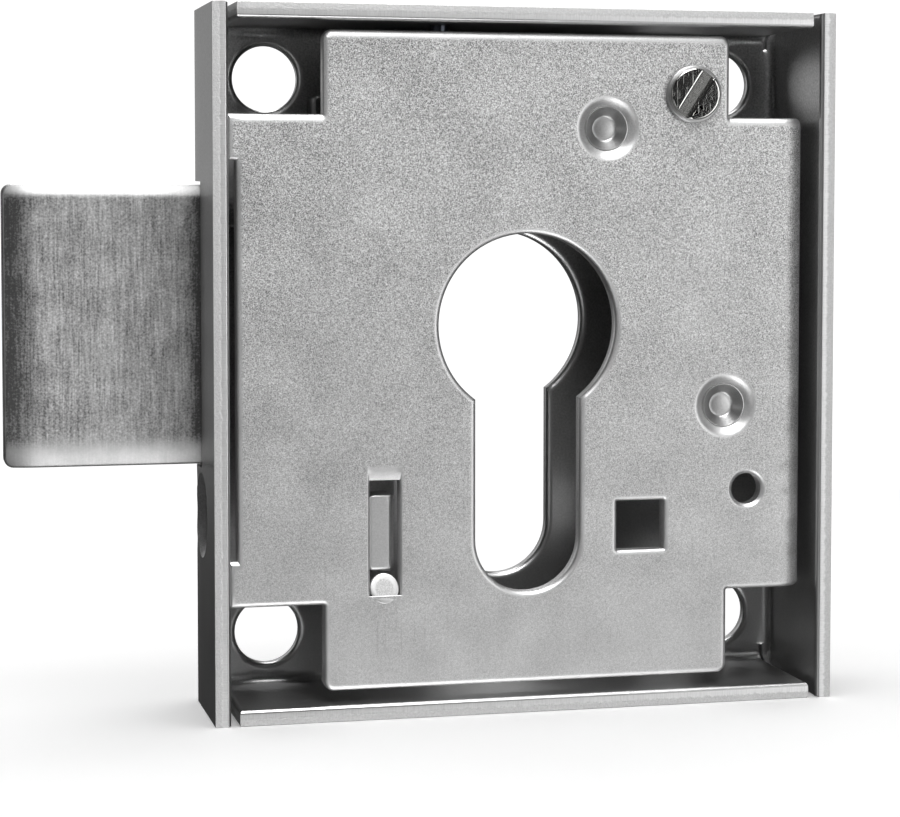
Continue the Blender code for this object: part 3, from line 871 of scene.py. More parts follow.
@dataclass(frozen=True)
class DrawnBar(Finish):
    """Drawn flat bar, tumbled bright: cloudy grain with faint upright draw lines.

    The colour is darkened as painted shade over the given reaches in metres: from end_x, its free end,
    where the rounded end turns from the light, and up to wall_x, where the case wall shades the bar.
    """

    grain: float = 0.2
    end_x: float = 0.0
    wall_x: float = 0.0
    # Reaches of the painted shade, in metres: from the free end, and from the case wall.
    shade_reach: tuple[float, float] = (3.6 * MM, 1.6 * MM)

    def dress(self, tree: bpy.types.NodeTree, shader: bpy.types.Node) -> None:
        """Mottled grain, cloud patches, near-upright streaks that lean a little, and painted shade at the
        free end and next to the case wall.
        """
        spot = node(tree, "ShaderNodeTexCoord").outputs["Object"]
        grain = node(
            tree,
            "ShaderNodeTexNoise",
            {"Vector": spot, "Scale": per_mm(self.grain), "Detail": 3.0, "Roughness": 0.6}
        ).outputs[0]
        cloud = node(
            tree, "ShaderNodeTexNoise", {"Vector": spot, "Scale": per_mm(2.4), "Detail": 3.0}
        ).outputs[0]
        lean = node(
            tree,
            "ShaderNodeMapping",
            {"Vector": spot, "Rotation": (0.0, 0.12, 0.0), "Scale": (per_mm(0.2), per_mm(1.0), per_mm(4.0))}
        ).outputs[0]
        streak = node(tree, "ShaderNodeTexNoise", {"Vector": lean, "Scale": 1.0, "Detail": 3.0}).outputs[0]
        worn = node(tree, "ShaderNodeAttribute", attribute_name="worn").outputs["Fac"]
        keen = combine(tree, "SUBTRACT", 1.0, combine(tree, "MULTIPLY", worn, 0.85))
        speck = combine(
            tree, "ADD", combine(tree, "MULTIPLY", grain, 0.6), combine(tree, "MULTIPLY", streak, 0.4)
        )
        swing = combine(
            tree, "MULTIPLY", combine(tree, "SUBTRACT", speck, 0.5), combine(tree, "MULTIPLY", keen, 2.4)
        )
        along = node(tree, "ShaderNodeSeparateXYZ", {0: spot}).outputs[0]
        # Painted shade: colour ramps along x darken the bar towards its free end, standing in for the shade
        # of its rounded end, and towards the case wall, standing in for the wall's shadow.
        end = node(
            tree,
            "ShaderNodeMapRange",
            {0: along, 1: self.end_x, 2: self.end_x + self.shade_reach[0], 3: 0.55, 4: 0.0},
            interpolation_type="SMOOTHSTEP"
        ).outputs[0]
        wall = node(
            tree,
            "ShaderNodeMapRange",
            {0: along, 1: self.wall_x - self.shade_reach[1], 2: self.wall_x, 3: 0.0, 4: 0.5},
            interpolation_type="SMOOTHSTEP"
        ).outputs[0]
        # slow holds the real cloud patches less the painted shade of the end and the wall; burnish weakens
        # the painted shade.
        cloudy = combine(tree, "MULTIPLY", combine(tree, "SUBTRACT", cloud, 0.5), 0.5)
        slow = combine(
            tree, "SUBTRACT", cloudy, combine(tree, "MULTIPLY", combine(tree, "ADD", end, wall), keen)
        )
        self.tone(
            tree,
            shader,
            combine(tree, "ADD", combine(tree, "ADD", 0.5, swing), slow, clamp=True),
            combine(
                tree,
                "ADD",
                combine(tree, "ADD", 0.5, combine(tree, "MULTIPLY", swing, 0.5)),
                slow,
                clamp=True
            ),
        )
        bump = node(
            tree,
            "ShaderNodeBump",
            {"Height": combine(tree, "MULTIPLY", speck, keen), "Distance": 0.012 * MM}
        )
        tree.links.new(bump.outputs[0], shader.inputs["Normal"])


@dataclass(frozen=True)
class TurnedFinish(Finish):
    """Turned and plated steel: fine rings round the axis that catch the light in fans."""

    ring: float = 0.06

    def dress(self, tree: bpy.types.NodeTree, shader: bpy.types.Node) -> None:
        """Rings follow texture v, the distance from the axis, and waver a little with u."""
        uv = node(tree, "ShaderNodeTexCoord").outputs["UV"]
        spot = node(tree, "ShaderNodeTexCoord").outputs["Object"]
        stretched = node(
            tree, "ShaderNodeMapping", {"Vector": uv, "Scale": (3.0, 1 / self.ring, 1.0)}
        ).outputs[0]
        rings = node(
            tree, "ShaderNodeTexNoise", {"Vector": stretched, "Scale": 1.0, "Detail": 2.0}
        ).outputs[0]
        pits = node(
            tree,
            "ShaderNodeTexNoise",
            {"Vector": spot, "Scale": per_mm(0.16), "Detail": 3.0, "Roughness": 0.7}
        ).outputs[0]
        speck = combine(
            tree, "ADD", combine(tree, "MULTIPLY", rings, 0.5), combine(tree, "MULTIPLY", pits, 0.5)
        )
        self.tone(tree, shader, speck, speck)
        bump = node(tree, "ShaderNodeBump", {"Height": speck, "Distance": 0.010 * MM})
        tree.links.new(bump.outputs[0], shader.inputs["Normal"])


@dataclass(frozen=True)
class BrightPlate(Finish):
    """Bright nickel plating on a screw: mirror-like with pits and slips of the driver."""

    def dress(self, tree: bpy.types.NodeTree, shader: bpy.types.Node) -> None:
        """Fine pits, a few scratches, and slow dents that bend the reflections."""
        spot = node(tree, "ShaderNodeTexCoord").outputs["Object"]
        pits = node(
            tree,
            "ShaderNodeTexNoise",
            {"Vector": spot, "Scale": per_mm(0.12), "Detail": 3.0, "Roughness": 0.7}
        ).outputs[0]
        dents = node(
            tree, "ShaderNodeTexNoise", {"Vector": spot, "Scale": per_mm(1.1), "Detail": 2.0}
        ).outputs[0]
        drag = node(
            tree,
            "ShaderNodeMapping",
            {
                "Vector": spot,
                "Rotation": (0.0, -0.6, 0.0),
                "Scale": (per_mm(0.08), per_mm(0.5), per_mm(2.5))
            }
        ).outputs[0]
        hair = node(tree, "ShaderNodeTexNoise", {"Vector": drag, "Scale": 1.0, "Detail": 2.0}).outputs[0]
        keep = node(tree, "ShaderNodeMapRange", {0: hair, 1: 0.64, 2: 0.72}).outputs[0]
        self.tone(
            tree, shader, pits, combine(tree, "ADD", combine(tree, "MULTIPLY", pits, 0.5), keep, clamp=True)
        )
        tall = combine(
            tree, "ADD", combine(tree, "MULTIPLY", dents, 1.0), combine(tree, "MULTIPLY", pits, 0.12)
        )
        bump = node(
            tree,
            "ShaderNodeBump",
            {
                "Height": combine(tree, "SUBTRACT", tall, combine(tree, "MULTIPLY", keep, 0.3)),
                "Distance": 0.012 * MM
            }
        )
        tree.links.new(bump.outputs[0], shader.inputs["Normal"])


@dataclass(frozen=True)
class MattPaint(Finish):
    """Matt white studio paper, lit a little from below: a soft ground for shadows."""

    glow: float = 0.0

    def dress(self, tree: bpy.types.NodeTree, shader: bpy.types.Node) -> None:
        """Faint paper tooth in the roughness only."""
        spot = node(tree, "ShaderNodeTexCoord").outputs["Object"]
        tooth = node(tree, "ShaderNodeTexNoise", {"Vector": spot, "Scale": per_mm(0.8)}).outputs[0]
        shader.inputs["Metallic"].default_value = 0.0
        shader.inputs["Specular IOR Level"].default_value = 0.0
        shader.inputs["Emission Color"].default_value = linear(self.light)
        shader.inputs["Emission Strength"].default_value = self.glow
        self.tone(tree, shader, tooth, tooth)


COVER_FACE = PlatedSheet("zinc_plated_sheet_tumbled", "#F0F0F0", "#727272", 0.40, 0.64, relief=0.02)
CASE_INNER = PlatedSheet(
    "zinc_plated_sheet_inner", "#C8C8C8", "#969696", 0.30, 0.42, grain=0.2, relief=0.008, contrast=2.6
)
CASE_OUTER = PlatedSheet(
    "zinc_plated_sheet_outer", "#C4C4C4", "#A0A0A0", 0.38, 0.50, grain=0.2, relief=0.004, contrast=2.4
)
BARE_EDGE = ShearedEdge("bare_sheared_steel", "#E2E2E2", "#9A9A9A", 0.38, 0.60)
BOLT_FACE = DrawnBar(
    "drawn_bar_tumbled_zinc",
    "#E6E6E6",
    "#6E6E6E",
    0.40,
    0.58,
    end_x=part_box("bolt")[0][0],
    wall_x=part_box("case_tray")[0][0]
)
STUD_FACE = TurnedFinish("turned_steel_zinc", "#D0D0D0", "#8A8A8A", 0.26, 0.46)
SCREW_FACE = BrightPlate("bright_nickel_plate", "#C6C6C4", "#9C9C9A", 0.05, 0.20)
# Slot floor of the screw: sawn roughness, and a dark colour that is painted shade of the slot's recess.
SLOT_FLOOR_SHADE = TurnedFinish("sawn_slot_nickel_painted_shade", "#9A9A98", "#4E4E4C", 0.16, 0.34)
SPRING_FACE = TurnedFinish("oil_blued_spring_steel", "#6A6E76", "#3C4048", 0.28, 0.45)
TUMBLER_FACE = PlatedSheet(
    "zinc_plated_stamping", "#D2D2D2", "#A4A4A4", 0.40, 0.55, grain=0.18, relief=0.006, contrast=2.4
)
PAPER = MattPaint("matt_white_paper", "#FFFFFF", "#FBFBFB", 0.9, 1.0)


# ---------------------------------------------------------------- pieces


@dataclass
class KeyholeCut:
    """Opening for a profile cylinder: a round hole running into a round-ended slot."""

    x: float = 30.0
    z: float = 36.7
    radius: float = 8.65
    slot_radius: float = 5.1
    bottom: float = 11.3

    def loop(self) -> Array:
        """Return the outline, barrel arc first, then the slot's round end."""
        waist = math.degrees(math.asin(self.slot_radius / self.radius))
        barrel = arc((self.x, self.z), self.radius, -90 + waist, 270 - waist, 72)
        end = arc((self.x, self.bottom + self.slot_radius), self.slot_radius, 180, 360, 30)
        return np.concatenate([barrel, end])


@dataclass
class CaseTray:
    """Tray folded from one blank, with its four walls and all its holes."""

    sheet: float = 1.5
    bend_in: float = 1.0
    neutral: float = 1.75
    corner_gap: float = 0.8
    slit: float = 0.12
    slit_top: float = 2.7
    fixing_x: tuple[float, float] = (6.9, 53.0)
    fixing_z: tuple[float, float] = (6.4, 60.1)
    fixing_radius: float = 3.15
    cylinder_screw: tuple[float, float] = (9.0, 18.6)
    post_foot_radius: float = 1.85
    peg_hole_radius: float = 0.95
    bolt_play: float = 0.3
    bolt_hole_end: float = 1.11
    pin_play: float = 0.3
    cylinder_screw_radius: float = 2.7
    flap_lap: float = 0.45

    def __post_init__(self) -> None:
        """Work out the bend and the blank from the case's own box."""
        self.bend_out = self.bend_in + self.sheet
        self.curl = self.neutral * math.pi / 2
        self.wall = LOCK.depth - self.bend_out
        self.reach = self.curl + self.wall

    def folded(self, s: Array, h: Array) -> tuple[Array, Array]:
        """Fold one side: distances past the bend line become a shift outwards and a depth.

        Up to the curl's length the sheet turns about an axis at bend_in over its inner face;
        past it, it runs straight towards the rim.

        Args:
            s: Flat distance past the bend line, negative inside it.
            h: Height through the sheet from its inner face.

        Returns:
            Distance outwards from the bend line, and depth y.
        """
        turn = np.clip(s / self.neutral, 0, np.pi / 2)
        radius = self.bend_in + h
        past = np.maximum(0, s - self.curl)
        return radius * np.sin(turn), LOCK.depth - self.bend_out + radius * np.cos(turn) - past

    def bend(self, u: Array, v: Array, h: Array) -> Array:
        """Fold the whole blank.

        Args:
            u: Flat coordinate along x.
            v: Flat coordinate along z.
            h: Height through the sheet from its inner face.

        Returns:
            Lock coordinates.
        """
        u, v, h = np.broadcast_arrays(u, v, h)
        b = self.bend_out
        low, high = b - v, v - (LOCK.height - b)
        in_flap = ((low > 0) | (high > 0)) & (u > b - self.flap_lap) & (u < LOCK.width - b + self.flap_lap)
        left = np.where(in_flap, -1.0, b - u)
        right = np.where(in_flap, -1.0, u - (LOCK.width - b))
        is_side = (left > 0) | (right > 0)
        low, high = np.where(is_side, -1.0, low), np.where(is_side, -1.0, high)
        x, z = u.astype(float), v.astype(float)
        y = LOCK.depth - self.sheet + h
        for s, axis, edge, sign in (
            (left, 0, b, -1), (right, 0, LOCK.width - b, 1), (low, 1, b, -1), (high, 1, LOCK.height - b, 1)
        ):
            out, deep = self.folded(s, h)
            moved = edge + sign * out
            x = np.where((s > 0) & (axis == 0), moved, x)
            z = np.where((s > 0) & (axis == 1), moved, z)
            y = np.where(s > 0, deep, y)
        return np.stack([x, y, z], axis=-1)

    def outline(self) -> Array:
        """Return the blank: a cross whose side walls keep the full height."""
        w, h, b = LOCK.width, LOCK.height, self.bend_out
        start = self.sheet + self.corner_gap
        near = start - self.slit
        top = self.slit_top
        out = self.reach - b
        half = [
            (start, -out), (w - start, -out), (w - start, top), (w - near, top), (w - near, 0), (w + out, 0)
        ]
        other = [
            (w + out, h), (w - near, h), (w - near, h - top), (w - start, h - top), (w - start, h + out)
        ]
        back = [(start, h + out), (start, h - top), (near, h - top), (near, h), (-out, h), (-out, 0)]
        return np.array([*half, *other, *back, (near, 0), (near, top), (start, top)], float)

    def bend_lines(self) -> tuple[Array, Array]:
        """Return u and v values that the mesh follows across the bends."""
        steps = np.linspace(0, self.curl, 9)
        b = self.bend_out
        return (
            np.concatenate([b - steps, LOCK.width - b + steps]),
            np.concatenate([b - steps, LOCK.height - b + steps]),
        )

    def cuts(self) -> list[Cut]:
        """Return the blank's outline and every hole."""
        lines_u, lines_v = self.bend_lines()
        across = ((0, lines_u), (1, lines_v))
        rim = EdgeSection(0.42, 0.36, 0.42, 0.03)
        pierced = EdgeSection(0.6, 0.4, 0.4, 0.05)
        small = EdgeSection(0.3, 0.22, 0.5, 0.03)
        found = [Cut(resampled(self.outline(), 2.0, across), rim, is_hole=False)]
        found.append(Cut(resampled(KeyholeCut().loop(), 1.0), pierced))
        found += [
            Cut(circle((x, z), self.fixing_radius, 64), pierced)
            for x in self.fixing_x
            for z in self.fixing_z
        ]
        post = LOCK.centre("screw_post")
        found.append(Cut(circle((post[0], post[2]), self.post_foot_radius, 40), small))
        low, high = LOCK.box("tail_guide_pin")
        throw = -LOCK.box("bolt")[0][0]
        radius, z = (high[0] - low[0]) / 2 + self.pin_play, (low[2] + high[2]) / 2
        x0 = (low[0] + high[0]) / 2
        ends = [arc((x0, z), radius, 90, 270, 18), arc((x0 + throw, z), radius, -90, 90, 18)]
        found.append(Cut(resampled(np.concatenate(ends), 1.5), small))
        bolt_low = LOCK.box("bolt")[0]
        to_u = self.bend_out - self.curl - (LOCK.depth - self.bend_out)
        head = (Bolt.head_z[0] - self.bolt_play, Bolt.head_z[1] + self.bolt_play)
        loop = rectangle((to_u + bolt_low[1] - self.bolt_play, head[0]), (self.bolt_hole_end, head[1]))
        found.append(Cut(resampled(loop, 2.0, across), small))
        y, z = self.cylinder_screw
        found.append(
            Cut(
                circle((to_u + y, z), self.cylinder_screw_radius, 48),
                EdgeSection(0.2, 0.15, 0.25, 0.0, 1.3)
            )
        )
        peg = LOCK.centre("spring_peg")
        v = LOCK.height - to_u - peg[1]
        found.append(Cut(circle((peg[0], v), self.peg_hole_radius, 32), small))
        return found

    def build(self) -> bpy.types.Object:
        """Make the tray and let it stand for its CAD node."""
        lines_u, lines_v = self.bend_lines()
        w, h = LOCK.width, LOCK.height
        out = self.reach - self.bend_out
        panel = grid(np.arange(-out, w + out, 4.0), np.arange(-out, h + out, 4.0))
        bends = np.concatenate(
            [grid(lines_u, np.arange(0.8, h, 2.0)), grid(np.arange(2.9, w, 2.0), lines_v)]
        )
        maker = MeshMaker("case_tray_folded")
        SheetPart(self.sheet, self.bend, np.concatenate([panel, bends])).add(maker, self.cuts())
        piece = maker.build([f.material() for f in (CASE_INNER, BARE_EDGE, CASE_OUTER)])
        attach(piece, Body.CASE.value)
        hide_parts("case_tray")
        return piece


@dataclass
class CoverPlate:
    """Punched cover with four arms, and a flange bent down on the blind side."""

    sheet: float = 1.75
    bend_out: float = 2.15
    neutral: float = 1.275
    arm_x: tuple[float, float] = (10.4, 49.9)
    wing_z: tuple[float, float] = (10.8, 56.4)
    tab_z: tuple[float, float] = (15.15, 52.1)
    wall_gap: float = 0.05
    corner: float = 0.9
    inner_corner: float = 0.15
    wing_corner: float = 0.7
    tab_edge: float = 2.3
    square_corner: float = 0.12
    round_hole: tuple[float, float, float] = (51.9, 20.55, 1.5)
    square_hole: tuple[float, float, float] = (41.15, 17.35, 4.75)
    lug_slot_x: tuple[float, float] = (14.7, 17.6)
    lug_slot_z: tuple[float, float] = (11.45, 22.35)
    stud_hole: float = 2.14
    lip_radius: float = 1.36
    lip_rise: float = 0.65
    lip_step: float = -0.15
    lip_fall: float = 0.85
    lip_gap: float = 0.06
    screw_hole: float = 1.7

    def __post_init__(self) -> None:
        """Take the cover's reach from its CAD node."""
        self.low, self.high = LOCK.box("cover_plate")
        self.line = self.high[0] - self.bend_out
        self.curl = self.neutral * math.pi / 2
        self.flat_end = self.line + self.curl + self.high[1] - self.low[1] - self.bend_out

    def bend(self, u: Array, v: Array, h: Array) -> Array:
        """Bend the blind-side edge down: past the line the sheet turns about an axis under it.

        Args:
            u: Flat coordinate along x.
            v: Height z.
            h: Depth under the front face.

        Returns:
            Lock coordinates.
        """
        u, v, h = np.broadcast_arrays(u, v, h)
        s = u - self.line
        turn = np.clip(s / self.neutral, 0, np.pi / 2)
        radius = self.bend_out - h
        past = np.maximum(0, s - self.curl)
        x = np.where(s > 0, self.line + radius * np.sin(turn), u)
        y = np.where(s > 0, self.low[1] + self.bend_out - radius * np.cos(turn) + past, self.low[1] + h)
        return np.stack([x, y, v.astype(float)], axis=-1)

    def outline(self) -> Array:
        """Return the flat outline, with a tab above and below the recessed bolt-side edge."""
        r = self.corner
        x0, x1 = self.arm_x
        z0, z1 = self.wing_z
        edge = self.tab_edge
        tab = CaseTray.sheet + self.wall_gap
        inner, wing = self.inner_corner, self.wing_corner
        low, high = self.low[2], self.high[2]
        corners = [
            (x0, low, r), (x1, low, r), (x1, z0, inner), (self.flat_end, z0, wing),
            (self.flat_end, z1, wing),
            (x1, z1, inner), (x1, high, r), (x0, high, r), (x0, z1, inner), (tab, z1, 0),
            (tab, self.tab_z[1], 0),
            (edge, self.tab_z[1], 0), (edge, self.tab_z[0], 0), (tab, self.tab_z[0], 0), (tab, z0, 0),
            (x0, z0, inner),
        ]
        return rounded(corners)

    def cuts(self) -> list[Cut]:
        """Return the outline and every hole of the cover."""
        rim = EdgeSection(0.5, 0.4, 0.5, 0.04)
        dish = EdgeSection(1.0, 0.6, 0.8, 0.02, steps=10, conical=True)
        lines = self.line + np.linspace(0, self.curl, 9)
        found = [Cut(resampled(self.outline(), 1.5, ((0, lines),)), rim, under=(1.6, 1.15), is_hole=False)]
        found.append(Cut(resampled(KeyholeCut().loop(), 1.0), rim))
        for name in ("upper_stud", "right_stud"):
            middle = LOCK.centre(name)
            found.append(Cut(circle((middle[0], middle[2]), self.stud_hole, 72), dish))
        screw = LOCK.centre("cover_screw")
        found.append(Cut(circle((screw[0], screw[2]), self.screw_hole, 40), EdgeSection(0.2, 0.15)))
        x, z, radius = self.round_hole
        found.append(Cut(circle((x, z), radius, 56), EdgeSection(0.42, 0.28, conical=True)))
        x, z, side = self.square_hole
        square = rounded(
            [
                (x + a * side / 2, z + b * side / 2, self.square_corner)
                for a, b in ((-1, -1), (1, -1), (1, 1), (-1, 1))
            ],
            3
        )
        found.append(Cut(resampled(square, 1.0), EdgeSection(0.45, 0.32)))
        slot = rectangle((self.lug_slot_x[0], self.lug_slot_z[0]), (self.lug_slot_x[1], self.lug_slot_z[1]))
        soft = EdgeSection(0.22, 0.2, conical=True)
        found.append(Cut(resampled(slot, 0.5), soft, over=(6.0, 0.7), under=(0.2, 0.2)))
        return found

    def add_lip(self, maker: MeshMaker) -> None:
        """Add the pressed lip at the slot's lower end: a disc whose front leans back.

        Its front falls away from the cover's face by its rise over its width times lip_fall, so
        that it looks up; its back stops in front of the lug, which slides behind it.

        Args:
            maker: The cover's mesh.
        """
        x = sum(self.lug_slot_x) / 2
        z = self.lug_slot_z[0] + self.lip_rise
        base = z - self.lip_radius
        back = LOCK.box("tumbler_lug")[0][1] - self.lip_gap
        front = self.low[1] + self.lip_step

        def lean(u: Array, v: Array, h: Array) -> Array:
            slope = self.lip_fall * np.clip((v - base) / (2 * self.lip_radius), 0, 1)
            deep = front + slope + h * (back - front - slope) / (back - front)
            return np.stack(np.broadcast_arrays(u, deep, v), axis=-1)

        section = EdgeSection(0.5, 0.11, 0.5, 0.0, lead=0.06, steps=8)
        disc = Cut(circle((x, z), self.lip_radius, 48), section, is_hole=False)
        SheetPart(back - front, lean, np.zeros((0, 2))).add(maker, [disc])

    def build(self) -> bpy.types.Object:
        """Make the cover and let it stand for its CAD node."""
        z0, z1 = self.wing_z
        lines = self.line + np.linspace(0, self.curl, 9)
        panel = grid(np.arange(2.0, self.flat_end, 3.0), np.arange(2.0, LOCK.height, 3.0))
        bends = grid(lines, np.arange(z0 + 0.8, z1, 2.0))
        maker = MeshMaker("cover_plate_punched")
        SheetPart(self.sheet, self.bend, np.concatenate([panel, bends])).add(maker, self.cuts())
        self.add_lip(maker)
        piece = maker.build([f.material() for f in (COVER_FACE, BARE_EDGE, CASE_OUTER)])
        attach(piece, Body.CASE.value)
        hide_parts("cover_plate")
        return piece


@dataclass
class CoverScrew:
    """Slotted cheese-head screw with a rounded rim; its slot floor is coloured dark as painted shade."""

    slot_width: float = 1.1
    slot_depth: float = 0.45
    slot_angle: float = 57.0
    rim: float = 0.22
    flare: float = 0.3
    shank_radius: float = 1.3
    hub: float = 0.3
    bed_lap: float = 0.06
    flank: tuple[float, float] = (0.12, 0.22)
    seat_chamfer: float = 0.08
    tip_chamfer: float = 0.5

    def half_head(self, centre: Array, radius: float, side: int, inset: float = 0.0) -> Array:
        """Outline of the head on one side of the slot: an arc closed by its chord.

        Args:
            centre: x and z of the head.
            radius: Radius of the head.
            side: 1 or -1, which side of the slot.
            inset: How far the outline is moved in.

        Returns:
            The closed loop, anticlockwise, with as many points at every inset.
        """
        lift = math.degrees(math.asin((self.slot_width / 2 + inset) / (radius - inset)))
        turn = self.slot_angle + (0 if side > 0 else 180)
        bow = arc(centre, radius - inset, turn + lift, turn + 180 - lift, 48)
        chord = bow[-1] + (bow[0] - bow[-1]) * np.linspace(0, 1, 14)[1:-1, None]
        return np.concatenate([bow, chord])

    def build(self) -> bpy.types.Object:
        """Make the screw and let it stand for its CAD node."""
        low, high = LOCK.box("cover_screw")
        centre = np.array([(low[0] + high[0]) / 2, (low[2] + high[2]) / 2])
        radius = (high[0] - low[0]) / 2
        face, seat = low[1], LOCK.box("cover_plate")[0][1] - 0.02
        floor = face + self.slot_depth
        maker = MeshMaker("cover_screw_slotted")
        rim = EdgeSection(self.rim, self.rim * 0.8, 0.5, 0.0, lead=0.08)
        for side in (1, -1):
            pad = SheetPart(floor - face + 0.01, flat_sheet(face), np.zeros((0, 2)))
            family = partial(self.half_head, centre, radius - self.flare, side)
            pad.add(maker, [Cut(family(0.0), rim, is_hole=False, family=family)])
        r = self.shank_radius
        neck = radius - self.flare
        lap = self.bed_lap
        # The slot floor takes the dark slot material: painted shade in the recess.
        bed = [(self.hub, floor), (neck - lap, floor), (neck - lap, floor + lap), (self.hub, floor + lap)]
        turned_surface(maker, np.array(bed), centre, 72, 3)
        profile = [
            (self.hub, floor + 0.03), (neck - 0.01, floor + 0.03), (radius - lap, floor + self.flank[0]),
            (radius, floor + self.flank[1]), (radius, seat - self.seat_chamfer),
            (radius - self.seat_chamfer, seat), (r + 0.1, seat), (r, seat + 0.1),
            (r, high[1] - self.tip_chamfer), (r - self.tip_chamfer, high[1]), (0.2, high[1]),
        ]
        turned_surface(maker, np.array(profile), centre, 72, 4)
        piece = maker.build([SCREW_FACE.material()] * 3 + [SLOT_FLOOR_SHADE.material(), STUD_FACE.material()])
        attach(piece, Body.CASE.value)
        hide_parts("cover_screw")
        return piece


@dataclass
class HollowStud:
    """Shouldered pin whose front end is spread into the dished cover hole by a cone punch."""

    node_name: str
    rim_radius: float = 2.12
    rim_y: float = 1.74
    floor_radius: float = 1.15
    floor_y: float = 2.7
    collar_radius: float = 2.9
    collar_y: tuple[float, float] = (3.25, 5.3)
    shank_radius: float = 1.75

    def build(self) -> bpy.types.Object:
        """Make the stud and let it stand for its CAD node."""
        high = LOCK.box(self.node_name)[1]
        middle = LOCK.centre(self.node_name)
        shank, collar = self.shank_radius, self.collar_y
        cone = np.linspace(0, 1, 9)
        run = np.stack(
            [
                self.floor_radius + (self.rim_radius - 0.1 - self.floor_radius) * cone,
                self.floor_y + (self.rim_y - self.floor_y) * cone**1.15
            ],
            axis=1
        )
        start = [
            (0.25, self.floor_y - 0.06), (0.8, self.floor_y - 0.03),
            (self.floor_radius - 0.06, self.floor_y + 0.01)
        ]
        end = [
            (self.rim_radius - 0.03, self.rim_y + 0.01), (self.rim_radius, self.rim_y + 0.06),
            (self.rim_radius, collar[0]),
            (self.collar_radius, collar[0]), (self.collar_radius, collar[1]), (shank, collar[1]),
            (shank, high[1] - 0.1),
            (shank - 0.1, high[1]), (0.3, high[1]),
        ]
        maker = MeshMaker(f"{self.node_name}_turned")
        turned_surface(maker, np.array([*start, *run.tolist(), *end]), (middle[0], middle[2]), 72)
        piece = maker.build([STUD_FACE.material()])
        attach(piece, Body.CASE.value)
        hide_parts(self.node_name)
        return piece


